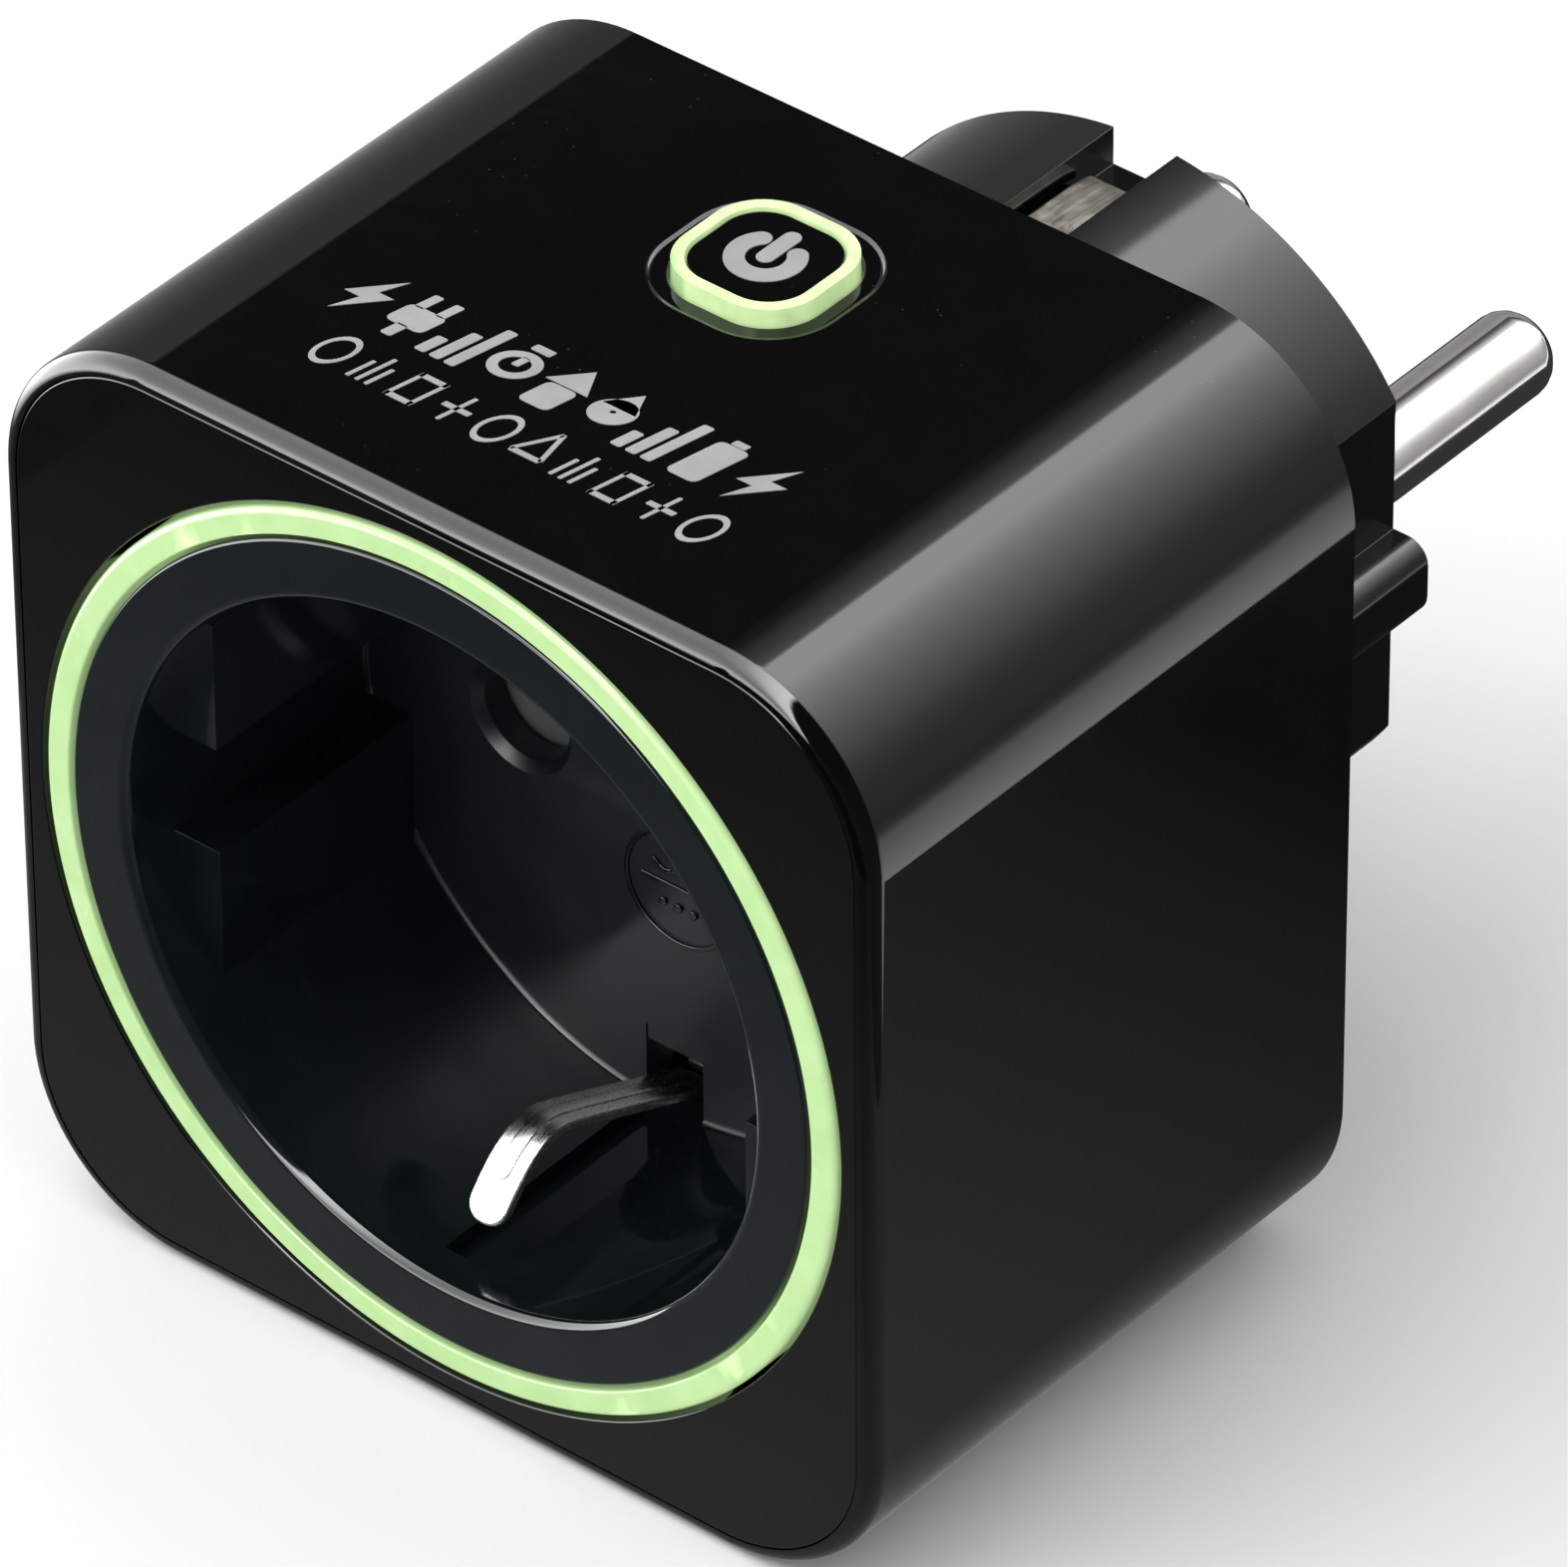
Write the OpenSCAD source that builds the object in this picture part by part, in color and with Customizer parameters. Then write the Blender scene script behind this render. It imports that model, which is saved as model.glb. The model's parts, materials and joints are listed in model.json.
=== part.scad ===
// Plug-in smart electric meter: a square adaptor with a socket in the front face,
// a plug at the back, a push button on top and two light rings.
// Origin: centre of the plug's end face. +Y points along the plug's pins, +Z is up.

/* [Body] */
// Width and height of the square body
body_w = 53.5; // [53:0.1:54.5]
// Depth of the body, from the front face to the back face
body_d = 36.1; // [36:0.1:37]
// Radius of the four long corners
corner_r = 9.4; // [9:0.1:9.8]
// Depth and inset of the chamfer around the front face
chamfer = 0.95; // [0.8:0.05:1.1]
// Thickness of the body's walls
wall = 2; // [1.9:0.05:2.1]

/* [Socket] */
// Radius of the round recess that takes a plug
recess_r = 19.5; // [19.4:0.05:19.6]
// Depth of the recess
recess_d = 17.5; // [17.4:0.1:17.6]
// Distance between the two pins, and between the two pin holes
pin_gap = 19; // [18.9:0.1:19.1]
// Radius of the pin holes in the recess floor
pin_hole_r = 2.7; // [2.6:0.05:2.75]
// Distance from the middle to each side guide of the recess
guide_x = 16.4; // [16.2:0.1:16.8]
// Inner and outer radius of the light ring
ring_in_r = 23.1; // [23:0.05:23.2]
ring_out_r = 24.55; // [24.5:0.05:24.6]
// How far the light ring stands proud of the front face
ring_proud = 0.1; // [0.05:0.05:0.2]

/* [Plug] */
// Radius of the round plug
boss_r = 18.5; // [18.4:0.05:18.6]
// Depth of the plug, from the body's back to its end face
boss_d = 17.8; // [17.6:0.1:18]
// Distance from the middle to each flat side of the plug
boss_flat_x = 15.65; // [15.5:0.05:15.8]
// Distance from the middle to the outer face of each guide rib
rib_x = 17.85; // [17.6:0.05:18]
// Height of a guide rib
rib_h = 4.4; // [4:0.1:4.6]
// Radius and length of the two pins
pin_r = 2.4; // [2.35:0.05:2.4]
pin_l = 19; // [18.5:0.1:19.5]

/* [Button] */
// Distance from the front face to the middle of the button
button_d = 24.9; // [24.5:0.05:25]
// Width of the button's light ring
button_w = 8.1; // [8:0.05:8.2]
// Width of the moving cap inside the light ring
cap_w = 6.6; // [6.5:0.05:6.7]
// Travel of the button
button_travel = 0.5; // [0.3:0.05:0.5]

/* [Hidden] */
$fn = 96;
half = body_w / 2;
front_y = -(body_d + boss_d);
plug_end = body_d + boss_d;       // depth of the plug's end face behind the front face
in_half = half - wall;            // half width of the cavity
in_r = corner_r - wall;
plate_t = 2;                      // front plate
slip = 0.05;                      // gap round a piece that drops into another
plate_half = half - chamfer - slip;
insert_wall = 1.4;
insert_out_r = recess_r + insert_wall;
floor_d = recess_d + 2;           // back of the recess floor
collar_r = ring_in_r - 0.25;      // edge of the satin collar round the recess
ring_gap = 0.25;                  // groove between the light ring and the cover
pocket_z = 20.3;                  // top of the pocket behind an earth clip
guide_d = 3.2;                    // depth at which the side guides start
notch_z = 3.1;                    // half height of the notch between two side guides
pivot_r = 1.5;                    // post that the shutter turns on
shutter_d = [floor_d + 0.3, floor_d + 2.3];
retainer_d = [floor_d + 3.7, floor_d + 4.7];
contact_d = [floor_d + 5, floor_d + 17.4];
contact_r = [2.45, 3.2];
board_d = [body_d - 3.1, body_d - 2.1];
board_half = 22;
back_d = body_d - 2;              // front of the back plate
hollow_r = 16.4;                  // inside of the plug
end_wall = 2.5;                   // wall that holds the pins
tail_d = 44;                      // depth of the pins' inner ends
pin_tip_r = 1.6;                  // rounding of the pins' tips
shank_r = pin_r + 0.45;           // a pin's thicker shank, flush with the end wall
groove_x = 1.95;                  // half width of the earth grooves
groove_z = 16.2;                  // floor of the earth grooves
groove_d = body_d + 1.2;
rail_z = 17;                      // middle of the earth strips
rail_w = 3.2;
sheet = 0.6;                      // sheet metal
clip_w = 2.4;
post_r = 3.1;
post_x = 20;                      // the two housing screws sit at (20, 20) and (-20, -20)
post_end = 30.1;
insert_posts = [[11.5, -8.2], [-11.5, 8.2]];
led_r = 23.8;
led_count = 12;
top_z = body_w / 2;
dish_d = 0.1;                     // depth of the dish round the button
ring_top = top_z + 0.85;          // top of the button's light ring
cap_top = top_z + 0.75;
button_r = 2.9;                   // corner radius of the button's light ring
cap_r = 2.2;                      // corner radius of the cap
mark_t = 0.2;                     // depth of the mark let into the cap
mark_r = 1.52;                    // middle radius of the mark's open ring
mark_w = 1.05;
mark_bar_w = 0.95;
mark_bar_l = 1.95;
mark_gap = 47;                    // half angle of the ring's gap
switch_board_z = [19.7, 20.7];
switch_top = 22.2;
clip_path = [[3.1, 17.6], [4.4, 15.9], [5.9, 14.55], [7.6, 14.05], [9.2, 14.55], [19.2, 18.7]];
rail_path = [[20.3, 19], [21, 19], [26.5, rail_z], [50.2, rail_z], [51.5, rail_z - 0.3]];
cable_path = [[-23.6, 6.05], [-23.6, 31], [-21, 32.9]];

// ---- helpers ------------------------------------------------------------

// extrudes a front-view outline from depth d0 to depth d1
module slab(d0, d1)
    translate([0, front_y + d1, 0])
        rotate([90, 0, 0])
            linear_extrude(d1 - d0)
                children();

// turns a [radius, depth] outline about the socket's axis
module spun(x = 0)
    translate([x, front_y, 0])
        rotate([-90, 0, 0])
            rotate_extrude()
                children();

// round bar along the plug's axis
module rod(d0, d1, r, x = 0, z = 0, tip_r = 0)
    translate([x, front_y + d0, z])
        rotate([-90, 0, 0])
            cylinder(h = d1 - d0, r1 = r, r2 = tip_r > 0 ? tip_r : r);

// box between low and high limits of x, depth and z
module block(x, d, z)
    translate([x[0], front_y + d[0], z[0]])
        cube([x[1] - x[0], d[1] - d[0], z[1] - z[0]]);

// extrudes a plan outline, centred on the button, from height z0 to z1
module tower(z0, z1)
    translate([0, front_y + button_d, z0])
        linear_extrude(z1 - z0)
            children();

// extrudes a [depth, z] outline across the width w
module across(w)
    translate([-w / 2, front_y, 0])
        rotate([90, 0, 90])
            linear_extrude(w)
                children();

module rounded(w, h, r) {
    square([w - 2 * r, h], center = true);
    square([w, h - 2 * r], center = true);
    for (sx = [-1, 1], sy = [-1, 1])
        translate([sx * (w / 2 - r), sy * (h / 2 - r)])
            circle(r);
}

function mark_end(s) = mark_r * [s * sin(mark_gap), cos(mark_gap)];
function unit(v) = v / norm(v);
function normal(a, b) = [unit(b - a)[1], -unit(b - a)[0]];
function side(path, h) = [
    for (i = [0:len(path) - 1])
        let (last = len(path) - 1,
             before = normal(path[max(i, 1) - 1], path[max(i, 1)]),
             after = normal(path[min(i, last - 1)], path[min(i + 1, last)]))
            path[i] + (before + after) * h / (1 + before * after)];

// bent sheet of thickness t along a path, with mitred bends
module strip(path, t)
    polygon(concat(side(path, t / 2),
                   [for (i = [len(path) - 1:-1:0]) side(path, -t / 2)[i]]));

module both_posts()
    for (s = [-1, 1])
        translate([s * post_x, 0, s * post_x])
            children();

// ---- housing ------------------------------------------------------------

module main_shell() color("#0c0c0f") {
    difference() {
        union() {
            slab(chamfer, body_d)
                rounded(body_w, body_w, corner_r);
            hull() {
                slab(0, 0.01)
                    rounded(body_w - 2 * chamfer, body_w - 2 * chamfer, corner_r - chamfer, $fn = 64);
                slab(chamfer, chamfer + 0.01)
                    rounded(body_w, body_w, corner_r, $fn = 64);
            }
        }
        slab(-1, plate_t)
            rounded(2 * plate_half + 2 * slip, 2 * plate_half + 2 * slip, corner_r - chamfer);
        slab(plate_t - 0.5, body_d + 1)
            rounded(2 * in_half, 2 * in_half, in_r);
        tower(in_half - 1, top_z + 1)
            rounded(button_w + 0.3, button_w + 0.3, button_r + 0.15);
        translate([0, front_y + button_d, top_z - dish_d])
            linear_extrude(2 * dish_d, scale = 1.06)
                rounded(button_w + 2, button_w + 2, button_r + 1);
    }
    // ribs that the main board rests against
    for (sx = [-1, 1], z = [-9, 6])
        block(sx > 0 ? [board_half - 1, in_half + 0.5] : [-in_half - 0.5, 1 - board_half],
              [board_d[0] - 2, board_d[0]], [z, z + 3]);
    // posts that hold the button board under the top wall
    for (x = [-7, 7], y = [-4.2, 4.2])
        translate([x, front_y + button_d + y, switch_board_z[1]])
            cylinder(h = in_half + 0.3 - switch_board_z[1], r = 0.8);
}

module front_cover() color("#0b0b0e") difference() {
    union() {
        difference() {
            slab(0, plate_t)
                rounded(2 * plate_half, 2 * plate_half, corner_r - chamfer - slip);
            rod(-1, plate_t + 1, ring_out_r + ring_gap);
        }
        both_posts()
            rod(plate_t - 0.5, post_end, post_r);
    }
    both_posts()
        rod(16, post_end + 1, 1.35);
}

module plug_outline(grow = 0) {
    intersection() {
        circle(boss_r + grow);
        square([2 * (boss_flat_x + grow), 3 * boss_r], center = true);
    }
}

module rear_cover() color("#0e0e11") difference() {
    union() {
        slab(back_d, body_d)
            rounded(2 * in_half - 0.2, 2 * in_half - 0.2, in_r - 0.1);
        slab(body_d - 0.5, plug_end)
            plug_outline();
        slab(body_d - 0.5, plug_end)
            rounded(2 * rib_x, rib_h, 1.3);
        both_posts()
            rod(post_end + 0.1, back_d + 0.5, post_r);
    }
    // hollow inside the plug, with a thick wall under each earth groove
    slab(back_d - 1, body_d)
        plug_outline(hollow_r - boss_r);
    difference() {
        slab(body_d - 0.5, plug_end - end_wall)
            plug_outline(hollow_r - boss_r);
        for (s = [-1, 1])
            block([-3.8, 3.8], [body_d, plug_end],
                  s > 0 ? [groove_z - 1.6, 20] : [-20, 1.6 - groove_z]);
    }
    for (s = [-1, 1]) {
        block([-groove_x, groove_x], [groove_d, plug_end + 1],
              s > 0 ? [groove_z, 20] : [-20, -groove_z]);
        block([-rail_w / 2 - 0.1, rail_w / 2 + 0.1], [back_d - 1, groove_d + 0.5],
              s > 0 ? [rail_z - 0.4, rail_z + 0.4] : [-rail_z - 0.4, 0.4 - rail_z]);
        block([-rail_w / 2 - 0.1, rail_w / 2 + 0.1], [back_d - 1, body_d - 0.1],
              s > 0 ? [hollow_r - 1, rail_z] : [-rail_z, 1 - hollow_r]);
        rod(plug_end - end_wall - 1, plug_end + 1, shank_r + slip, s * pin_gap / 2);
    }
    both_posts() {
        rod(post_end - 1, body_d, 1.5);
        rod(body_d - 1.5, body_d + 1, 2.9);
    }
}

module housing_screws() color("silver") both_posts() difference() {
    union() {
        rod(18, body_d - 1.4, 1.3);
        rod(body_d - 1.5, body_d - 0.1, 2.6);
    }
    block([-1.5, 1.5], [body_d - 0.7, body_d + 1], [-0.3, 0.3]);
    block([-0.3, 0.3], [body_d - 0.7, body_d + 1], [-1.5, 1.5]);
}

// ---- socket -------------------------------------------------------------

module insert_profile()
    polygon([[recess_r + 0.45, 0], [collar_r, 0], [collar_r, plate_t], [insert_out_r, plate_t],
             [insert_out_r, floor_d], [0, floor_d], [0, recess_d], [recess_r, recess_d],
             [recess_r, 0.45]]);

module side_guide(s) difference() {
    intersection() {
        rod(guide_d, recess_d + 0.5, recess_r + 0.7);
        block(s > 0 ? [guide_x, 21] : [-21, -guide_x], [0, 20], [-13, 13]);
    }
    block([-22, 22], [0, recess_d + 1], [-notch_z, notch_z]);
}

module socket_insert() color("#1d1d20") difference() {
    union() {
        spun()
            insert_profile();
        side_guide(-1);
        side_guide(1);
        for (s = [-1, 1])
            block([-2.9, 2.9], [plate_t, floor_d],
                  s > 0 ? [recess_r + 0.3, pocket_z + 1.1] : [-pocket_z - 1.1, -recess_r - 0.3]);
        rod(floor_d - 0.5, retainer_d[0], pivot_r);
        for (p = insert_posts)
            rod(floor_d - 0.5, board_d[0], 2.2, p[0], p[1]);
    }
    for (s = [-1, 1]) {
        rod(recess_d - 1, floor_d + 1, pin_hole_r, s * pin_gap / 2);
        rod(recess_d - 0.5, recess_d + 0.5, pin_hole_r + 1, s * pin_gap / 2, 0, pin_hole_r);
        block([-1.8, 1.8], [2.3, recess_d + 0.5], s > 0 ? [15, pocket_z] : [-pocket_z, -15]);
        block([-1.8, 1.8], [recess_d - 0.5, floor_d + 1],
              s > 0 ? [15.9, pocket_z] : [-pocket_z, -15.9]);
    }
    rod(floor_d + 0.5, retainer_d[0] + 1, 0.85);
    for (p = insert_posts)
        rod(26, board_d[0] + 1, 0.95, p[0], p[1]);
}

module light_ring() color("#a6e283") spun()
    polygon([[21.9, 2.1], [ring_in_r, 2.1], [ring_in_r, 0.15 - ring_proud],
             [ring_in_r + 0.15, -ring_proud], [ring_out_r - 0.35, -ring_proud],
             [ring_out_r, 0.35 - ring_proud], [ring_out_r, 3.5], [21.9, 3.5]]);

module ring_board() color("darkgreen") difference() {
    rod(5, 6, 24.4);
    rod(4, 7, 22);
}

module ring_leds() color("ivory") for (i = [0:led_count - 1])
    rotate([0, (i + 0.5) * 360 / led_count, 0])
        block([-0.8, 0.8], [4.2, 5], [led_r - 0.8, led_r + 0.4]);

module ring_flat_cable() color("gainsboro") translate([0, front_y, -3])
    linear_extrude(6)
        strip(cable_path, 0.3);

module shutter() color("dimgray") slab(shutter_d[0], shutter_d[1]) difference() {
    union() {
        circle(3.4);
        intersection() {
            circle(12.9);
            union() {
                polygon([[0, 0], [16, 5.5], [16, -5.5]]);
                polygon([[0, 0], [-16, -5.5], [-16, 5.5]]);
            }
        }
    }
    circle(pivot_r + 0.05);
}

module shutter_spring() color("silver") for (i = [0:2])
    translate([0, front_y + shutter_d[1] + 0.3 + 0.4 * i, 0])
        rotate([90, 0, 0])
            rotate_extrude($fn = 48)
                translate([2.4, 0])
                    circle(0.2, $fn = 16);

module shutter_retainer() color("#2a2a2d") slab(retainer_d[0], retainer_d[1]) difference() {
    rounded(27, 7.4, 2);
    for (s = [-1, 1])
        translate([s * pin_gap / 2, 0])
            circle(3);
    circle(0.9);
}

module retainer_screw() color("silver") difference() {
    union() {
        rod(floor_d + 0.7, retainer_d[1] + 0.1, 0.8);
        rod(retainer_d[1], retainer_d[1] + 0.9, 1.8);
    }
    block([-2, 2], [retainer_d[1] + 0.5, retainer_d[1] + 2], [-0.2, 0.2]);
}

module contact(s) color("goldenrod") translate([s * pin_gap / 2, 0, 0]) difference() {
    rod(contact_d[0], contact_d[1], contact_r[1]);
    rod(contact_d[0] - 1, contact_d[1] + 1, contact_r[0]);
    rod(contact_d[0] - 0.5, contact_d[0] + 0.5, contact_r[0] + 0.9, 0, 0, contact_r[0] - 0.1);
    block([-0.35, 0.35], [contact_d[0] - 1, contact_d[0] + 7], [-4, 4]);
}

module earth_clip() color("gainsboro") across(clip_w)
    strip(clip_path, sheet);

module earth_rail() color("tan") across(rail_w)
    strip(rail_path, sheet);

module earth_bridge() color("tan")
    block([-1.3, 1.3], [body_d - 1.1, body_d - 0.5], [sheet / 2 - rail_z, rail_z - sheet / 2]);

// ---- plug ---------------------------------------------------------------

// half outline of a pin: tail, collar, shank through the end wall, free length and round tip
module pin_outline() intersection() {
    translate([0, tail_d])
        square([4, plug_end + pin_l - tail_d]);
    union() {
        translate([0, tail_d])
            square([1.3, 6]);
        translate([0, plug_end - end_wall - 2.1])
            square([3.3, 2.05]);
        translate([0, tail_d + 5])
            square([shank_r, plug_end - tail_d - 5]);
        translate([0, plug_end])
            square([pin_r, pin_l - pin_tip_r]);
        translate([0, plug_end])
            square([pin_r - pin_tip_r, pin_l]);
        translate([pin_r - pin_tip_r, plug_end + pin_l - pin_tip_r])
            circle(pin_tip_r);
    }
}

module plug_pin(s) color("silver") spun(s * pin_gap / 2)
    pin_outline();

// quarter turn of a wire in the y-z plane, from start degrees
module wire_bend(d, z, start, bend_r, r)
    translate([0, front_y + d, z])
        rotate([0, 90, 0])
            rotate([0, 0, start])
                rotate_extrude(angle = 90)
                    translate([bend_r, 0])
                        circle(r);

// wire from a pin's tail to the main board, passing above or below the contact
module supply_wire(s, shade, bend_r = 3.5, r = 0.9) color(shade)
    translate([s * pin_gap / 2, 0, 0])
        scale([1, 1, s]) {
            wire_bend(tail_d, bend_r, -90, bend_r, r);
            wire_bend(tail_d - 2 * bend_r, bend_r, 90, bend_r, r);
            rod(board_d[1], tail_d - 2 * bend_r, r, 0, 2 * bend_r);
        }

// ---- electronics --------------------------------------------------------

module main_board() color("darkgreen") slab(board_d[0], board_d[1]) difference() {
    rounded(2 * board_half, 2 * board_half, 3);
    for (s = [-1, 1]) {
        translate([s * pin_gap / 2, 0])
            circle(contact_r[1] + 0.2);
        translate([s * post_x, s * post_x])
            circle(post_r + 0.4);
        translate([0, s * rail_z])
            square([rail_w + 0.6, 1.6], center = true);
    }
    for (p = insert_posts)
        translate(p)
            circle(1.2);
}

module board_screws() color("silver") for (p = insert_posts) difference() {
    union() {
        rod(27, board_d[1] + 0.1, 0.9, p[0], p[1]);
        rod(board_d[1], board_d[1] + 1.2, 1.9, p[0], p[1]);
    }
    block([p[0] - 2, p[0] + 2], [board_d[1] + 0.7, board_d[1] + 2], [p[1] - 0.25, p[1] + 0.25]);
}

module relay() color("#1b2a55")
    block([2.1, 21.8], [board_d[0] - 12.3, board_d[0]], [-22.2, -12.1]);

module current_shunt() color("darkkhaki") translate([0, front_y, -20])
    linear_extrude(3)
        strip([[-14, board_d[0]], [-14, board_d[0] - 5], [-4, board_d[0] - 5], [-4, board_d[0]]], 0.8);

module film_capacitor() color("gold")
    block([-15.3, -2.3], [board_d[0] - 12, board_d[0]], [12.4, 18.4]);

module smoothing_capacitor() color("#2b2540")
    rod(board_d[0] - 11.5, board_d[0], 3.1, -18.6, 12.2);

module varistor() color("steelblue") translate([-20.5, front_y + board_d[0] - 4, 19.9])
    rotate([0, 90, 0])
        cylinder(h = 3.5, r = 3.5);

module fuse_resistor() color("peru") translate([-16, front_y + board_d[0] - 2, -13.8])
    rotate([0, 90, 0])
        cylinder(h = 9, r = 1.6);

module metering_chip() color("#17171a") {
    block([-2.5, 2.5], [board_d[0] - 1.6, board_d[0] - 0.15], [-9, -4.2]);
    for (sx = [-1, 1], i = [0:3])
        block(sx > 0 ? [2.4, 3.1] : [-3.1, -2.4], [board_d[0] - 0.8, board_d[0]],
              [-8.6 + 1.15 * i, -8.15 + 1.15 * i]);
}

module wireless_module() color("navy")
    block([3, 18], [board_d[0] - 12, board_d[0]], [12.6, 13.4]);

module module_shield() color("silver")
    block([4, 13], [board_d[0] - 11, board_d[0] - 2], [13.4, 15.4]);

module antenna() color("darkgoldenrod") for (i = [0:4])
    block([14, 17], [board_d[0] - 11 + 2 * i, board_d[0] - 10.4 + 2 * i], [13.4, 13.5]);

// ---- button -------------------------------------------------------------

module button_light_ring() color("#a6e283") difference() {
    union() {
        tower(in_half - 1.1, ring_top)
            rounded(button_w, button_w, button_r);
        tower(in_half - 1.1, in_half - 0.1)
            rounded(button_w + 1.8, button_w + 1.8, button_r + 0.9);
    }
    tower(in_half - 2, ring_top + 1)
        rounded(cap_w + 0.24, cap_w + 0.24, cap_r + 0.12);
}

module button_cap() color("#0c0c0f") difference() {
    union() {
        tower(in_half - 1.85, cap_top)
            rounded(cap_w, cap_w, cap_r);
        tower(in_half - 1.85, in_half - 1.25)
            rounded(cap_w + 1.8, cap_w + 1.8, cap_r + 0.9);
    }
    difference() {
        tower(in_half - 3, cap_top - 1)
            rounded(cap_w - 1.6, cap_w - 1.6, cap_r - 0.8);
        tower(in_half - 1.8, cap_top)
            circle(1.5);
    }
    tower(cap_top - mark_t, cap_top + 1)
        power_mark();
}

// open ring with a bar in its gap, all with round ends
module power_mark() {
    difference() {
        circle(mark_r + mark_w / 2);
        circle(mark_r - mark_w / 2);
        polygon([[0, 0], 2 * mark_end(-1), 2 * mark_end(1)]);
    }
    for (s = [-1, 1])
        translate(mark_end(s))
            circle(mark_w / 2);
    translate([-mark_bar_w / 2, 0])
        square([mark_bar_w, mark_bar_l]);
    for (y = [0, mark_bar_l])
        translate([0, y])
            circle(mark_bar_w / 2);
}

module button_icon() color("gainsboro") tower(cap_top - mark_t, cap_top)
    power_mark();

module button_board() color("darkgreen") tower(switch_board_z[0], switch_board_z[1])
    square([15.6, 10], center = true);

module button_leds() color("ivory") for (s = [-1, 1])
    translate([s * 3.75 - 0.4, front_y + button_d - 0.6, switch_board_z[1]])
        cube([0.8, 1.2, 0.6]);

module switch_body() color("#2a2a2d") difference() {
    tower(switch_board_z[1], switch_top)
        square(5.2, center = true);
    tower(switch_board_z[1] + 0.15, switch_top + 1)
        circle(1.5);
}

module switch_plunger() color("whitesmoke") tower(21.5, in_half - 1.85)
    circle(1.4);

main_shell();
front_cover();
rear_cover();
socket_insert();
light_ring();
ring_board();
ring_leds();
ring_flat_cable();
shutter();
shutter_spring();
shutter_retainer();
retainer_screw();
contact(1);  // line_contact
contact(-1);  // neutral_contact
earth_clip();  // earth_clip_top
mirror([0, 0, 1]) earth_clip();  // earth_clip_bottom
earth_rail();  // earth_rail_top
mirror([0, 0, 1]) earth_rail();  // earth_rail_bottom
earth_bridge();
plug_pin(1);  // line_pin
plug_pin(-1);  // neutral_pin
supply_wire(1, "saddlebrown");  // line_wire
supply_wire(-1, "royalblue");  // neutral_wire
main_board();
board_screws();
relay();
current_shunt();
film_capacitor();
smoothing_capacitor();
varistor();
fuse_resistor();
metering_chip();
wireless_module();
module_shield();
antenna();
button_cap();
button_icon();
button_light_ring();
button_board();
button_leds();
switch_body();
switch_plunger();
housing_screws();
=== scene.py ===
# %% [markdown]
# # A plug-in electric meter
# The real object is a small square adaptor: a socket in front, a plug behind, and a lit ring round the
# socket. Its housing is piano-black plastic, so everything that the eye reads is an edge or a reflection.
# This lesson builds each visible moulding with soft edges over the CAD frame, then gives every piece a
# finish made of nodes.

import json
import math

import bmesh
import bpy
from mathutils import Matrix, Vector


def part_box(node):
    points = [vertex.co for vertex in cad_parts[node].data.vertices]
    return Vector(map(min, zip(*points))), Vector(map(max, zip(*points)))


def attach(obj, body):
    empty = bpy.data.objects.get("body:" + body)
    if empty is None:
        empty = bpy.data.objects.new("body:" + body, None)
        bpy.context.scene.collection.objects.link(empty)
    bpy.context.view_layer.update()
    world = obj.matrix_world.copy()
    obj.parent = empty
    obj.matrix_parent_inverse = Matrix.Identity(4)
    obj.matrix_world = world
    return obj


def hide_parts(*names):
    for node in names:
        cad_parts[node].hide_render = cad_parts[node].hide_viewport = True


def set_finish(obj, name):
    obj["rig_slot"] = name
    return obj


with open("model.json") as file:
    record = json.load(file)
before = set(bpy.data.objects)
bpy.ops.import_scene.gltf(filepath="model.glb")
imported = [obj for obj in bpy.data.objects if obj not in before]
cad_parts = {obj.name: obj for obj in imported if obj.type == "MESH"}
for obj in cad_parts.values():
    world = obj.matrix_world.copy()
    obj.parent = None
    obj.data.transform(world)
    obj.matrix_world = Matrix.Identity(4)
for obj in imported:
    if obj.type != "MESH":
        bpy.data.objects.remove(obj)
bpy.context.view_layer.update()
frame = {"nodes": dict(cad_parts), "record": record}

MM = 0.001
TURN = 2 * math.pi
shell_low, shell_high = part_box("main_shell")
front_y = shell_low.y
back_y = shell_high.y
half = shell_high.x
print("body is", round(2 * half / MM, 2), "mm square and", round((back_y - front_y) / MM, 2), "mm deep")

# %% [markdown]
# ## Helpers for shapes
# Three starts cover the whole object. A rounded square that is pushed into depth makes the mouldings, a
# half outline that is spun about an axis makes the round parts, and a flat blank that is bent along a
# path makes the sheet-metal strips. The corners come from a vertex bevel, because it gives a true arc
# from one sharp corner.

# %% Rounded plates and boxes
def rounded(bm, parts, radius, segments, kind="VERTICES", clamp=False):
    """A true arc in place of each sharp corner or edge."""
    bmesh.ops.bevel(bm, geom=parts, offset=radius, offset_type="OFFSET", segments=segments, profile=0.5,
                    affect=kind, material=-1, clamp_overlap=clamp)


def sliced(bm, point, normal, keep_both=False):
    """Cuts a whole mesh with a plane. Unless both sides are kept, the normal points at the side that goes."""
    bmesh.ops.bisect_plane(bm, geom=bm.verts[:] + bm.edges[:] + bm.faces[:], plane_co=point, plane_no=normal,
                           clear_outer=not keep_both)


def plate(width, height, radius, segments=16):
    """A flat rounded rectangle in the X-Y plane."""
    bm = bmesh.new()
    bmesh.ops.create_grid(bm, x_segments=1, y_segments=1, size=0.5)
    bmesh.ops.scale(bm, vec=(width, height, 1), verts=bm.verts)
    if radius > 0:
        rounded(bm, bm.verts[:], radius, segments)
    return bm


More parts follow.
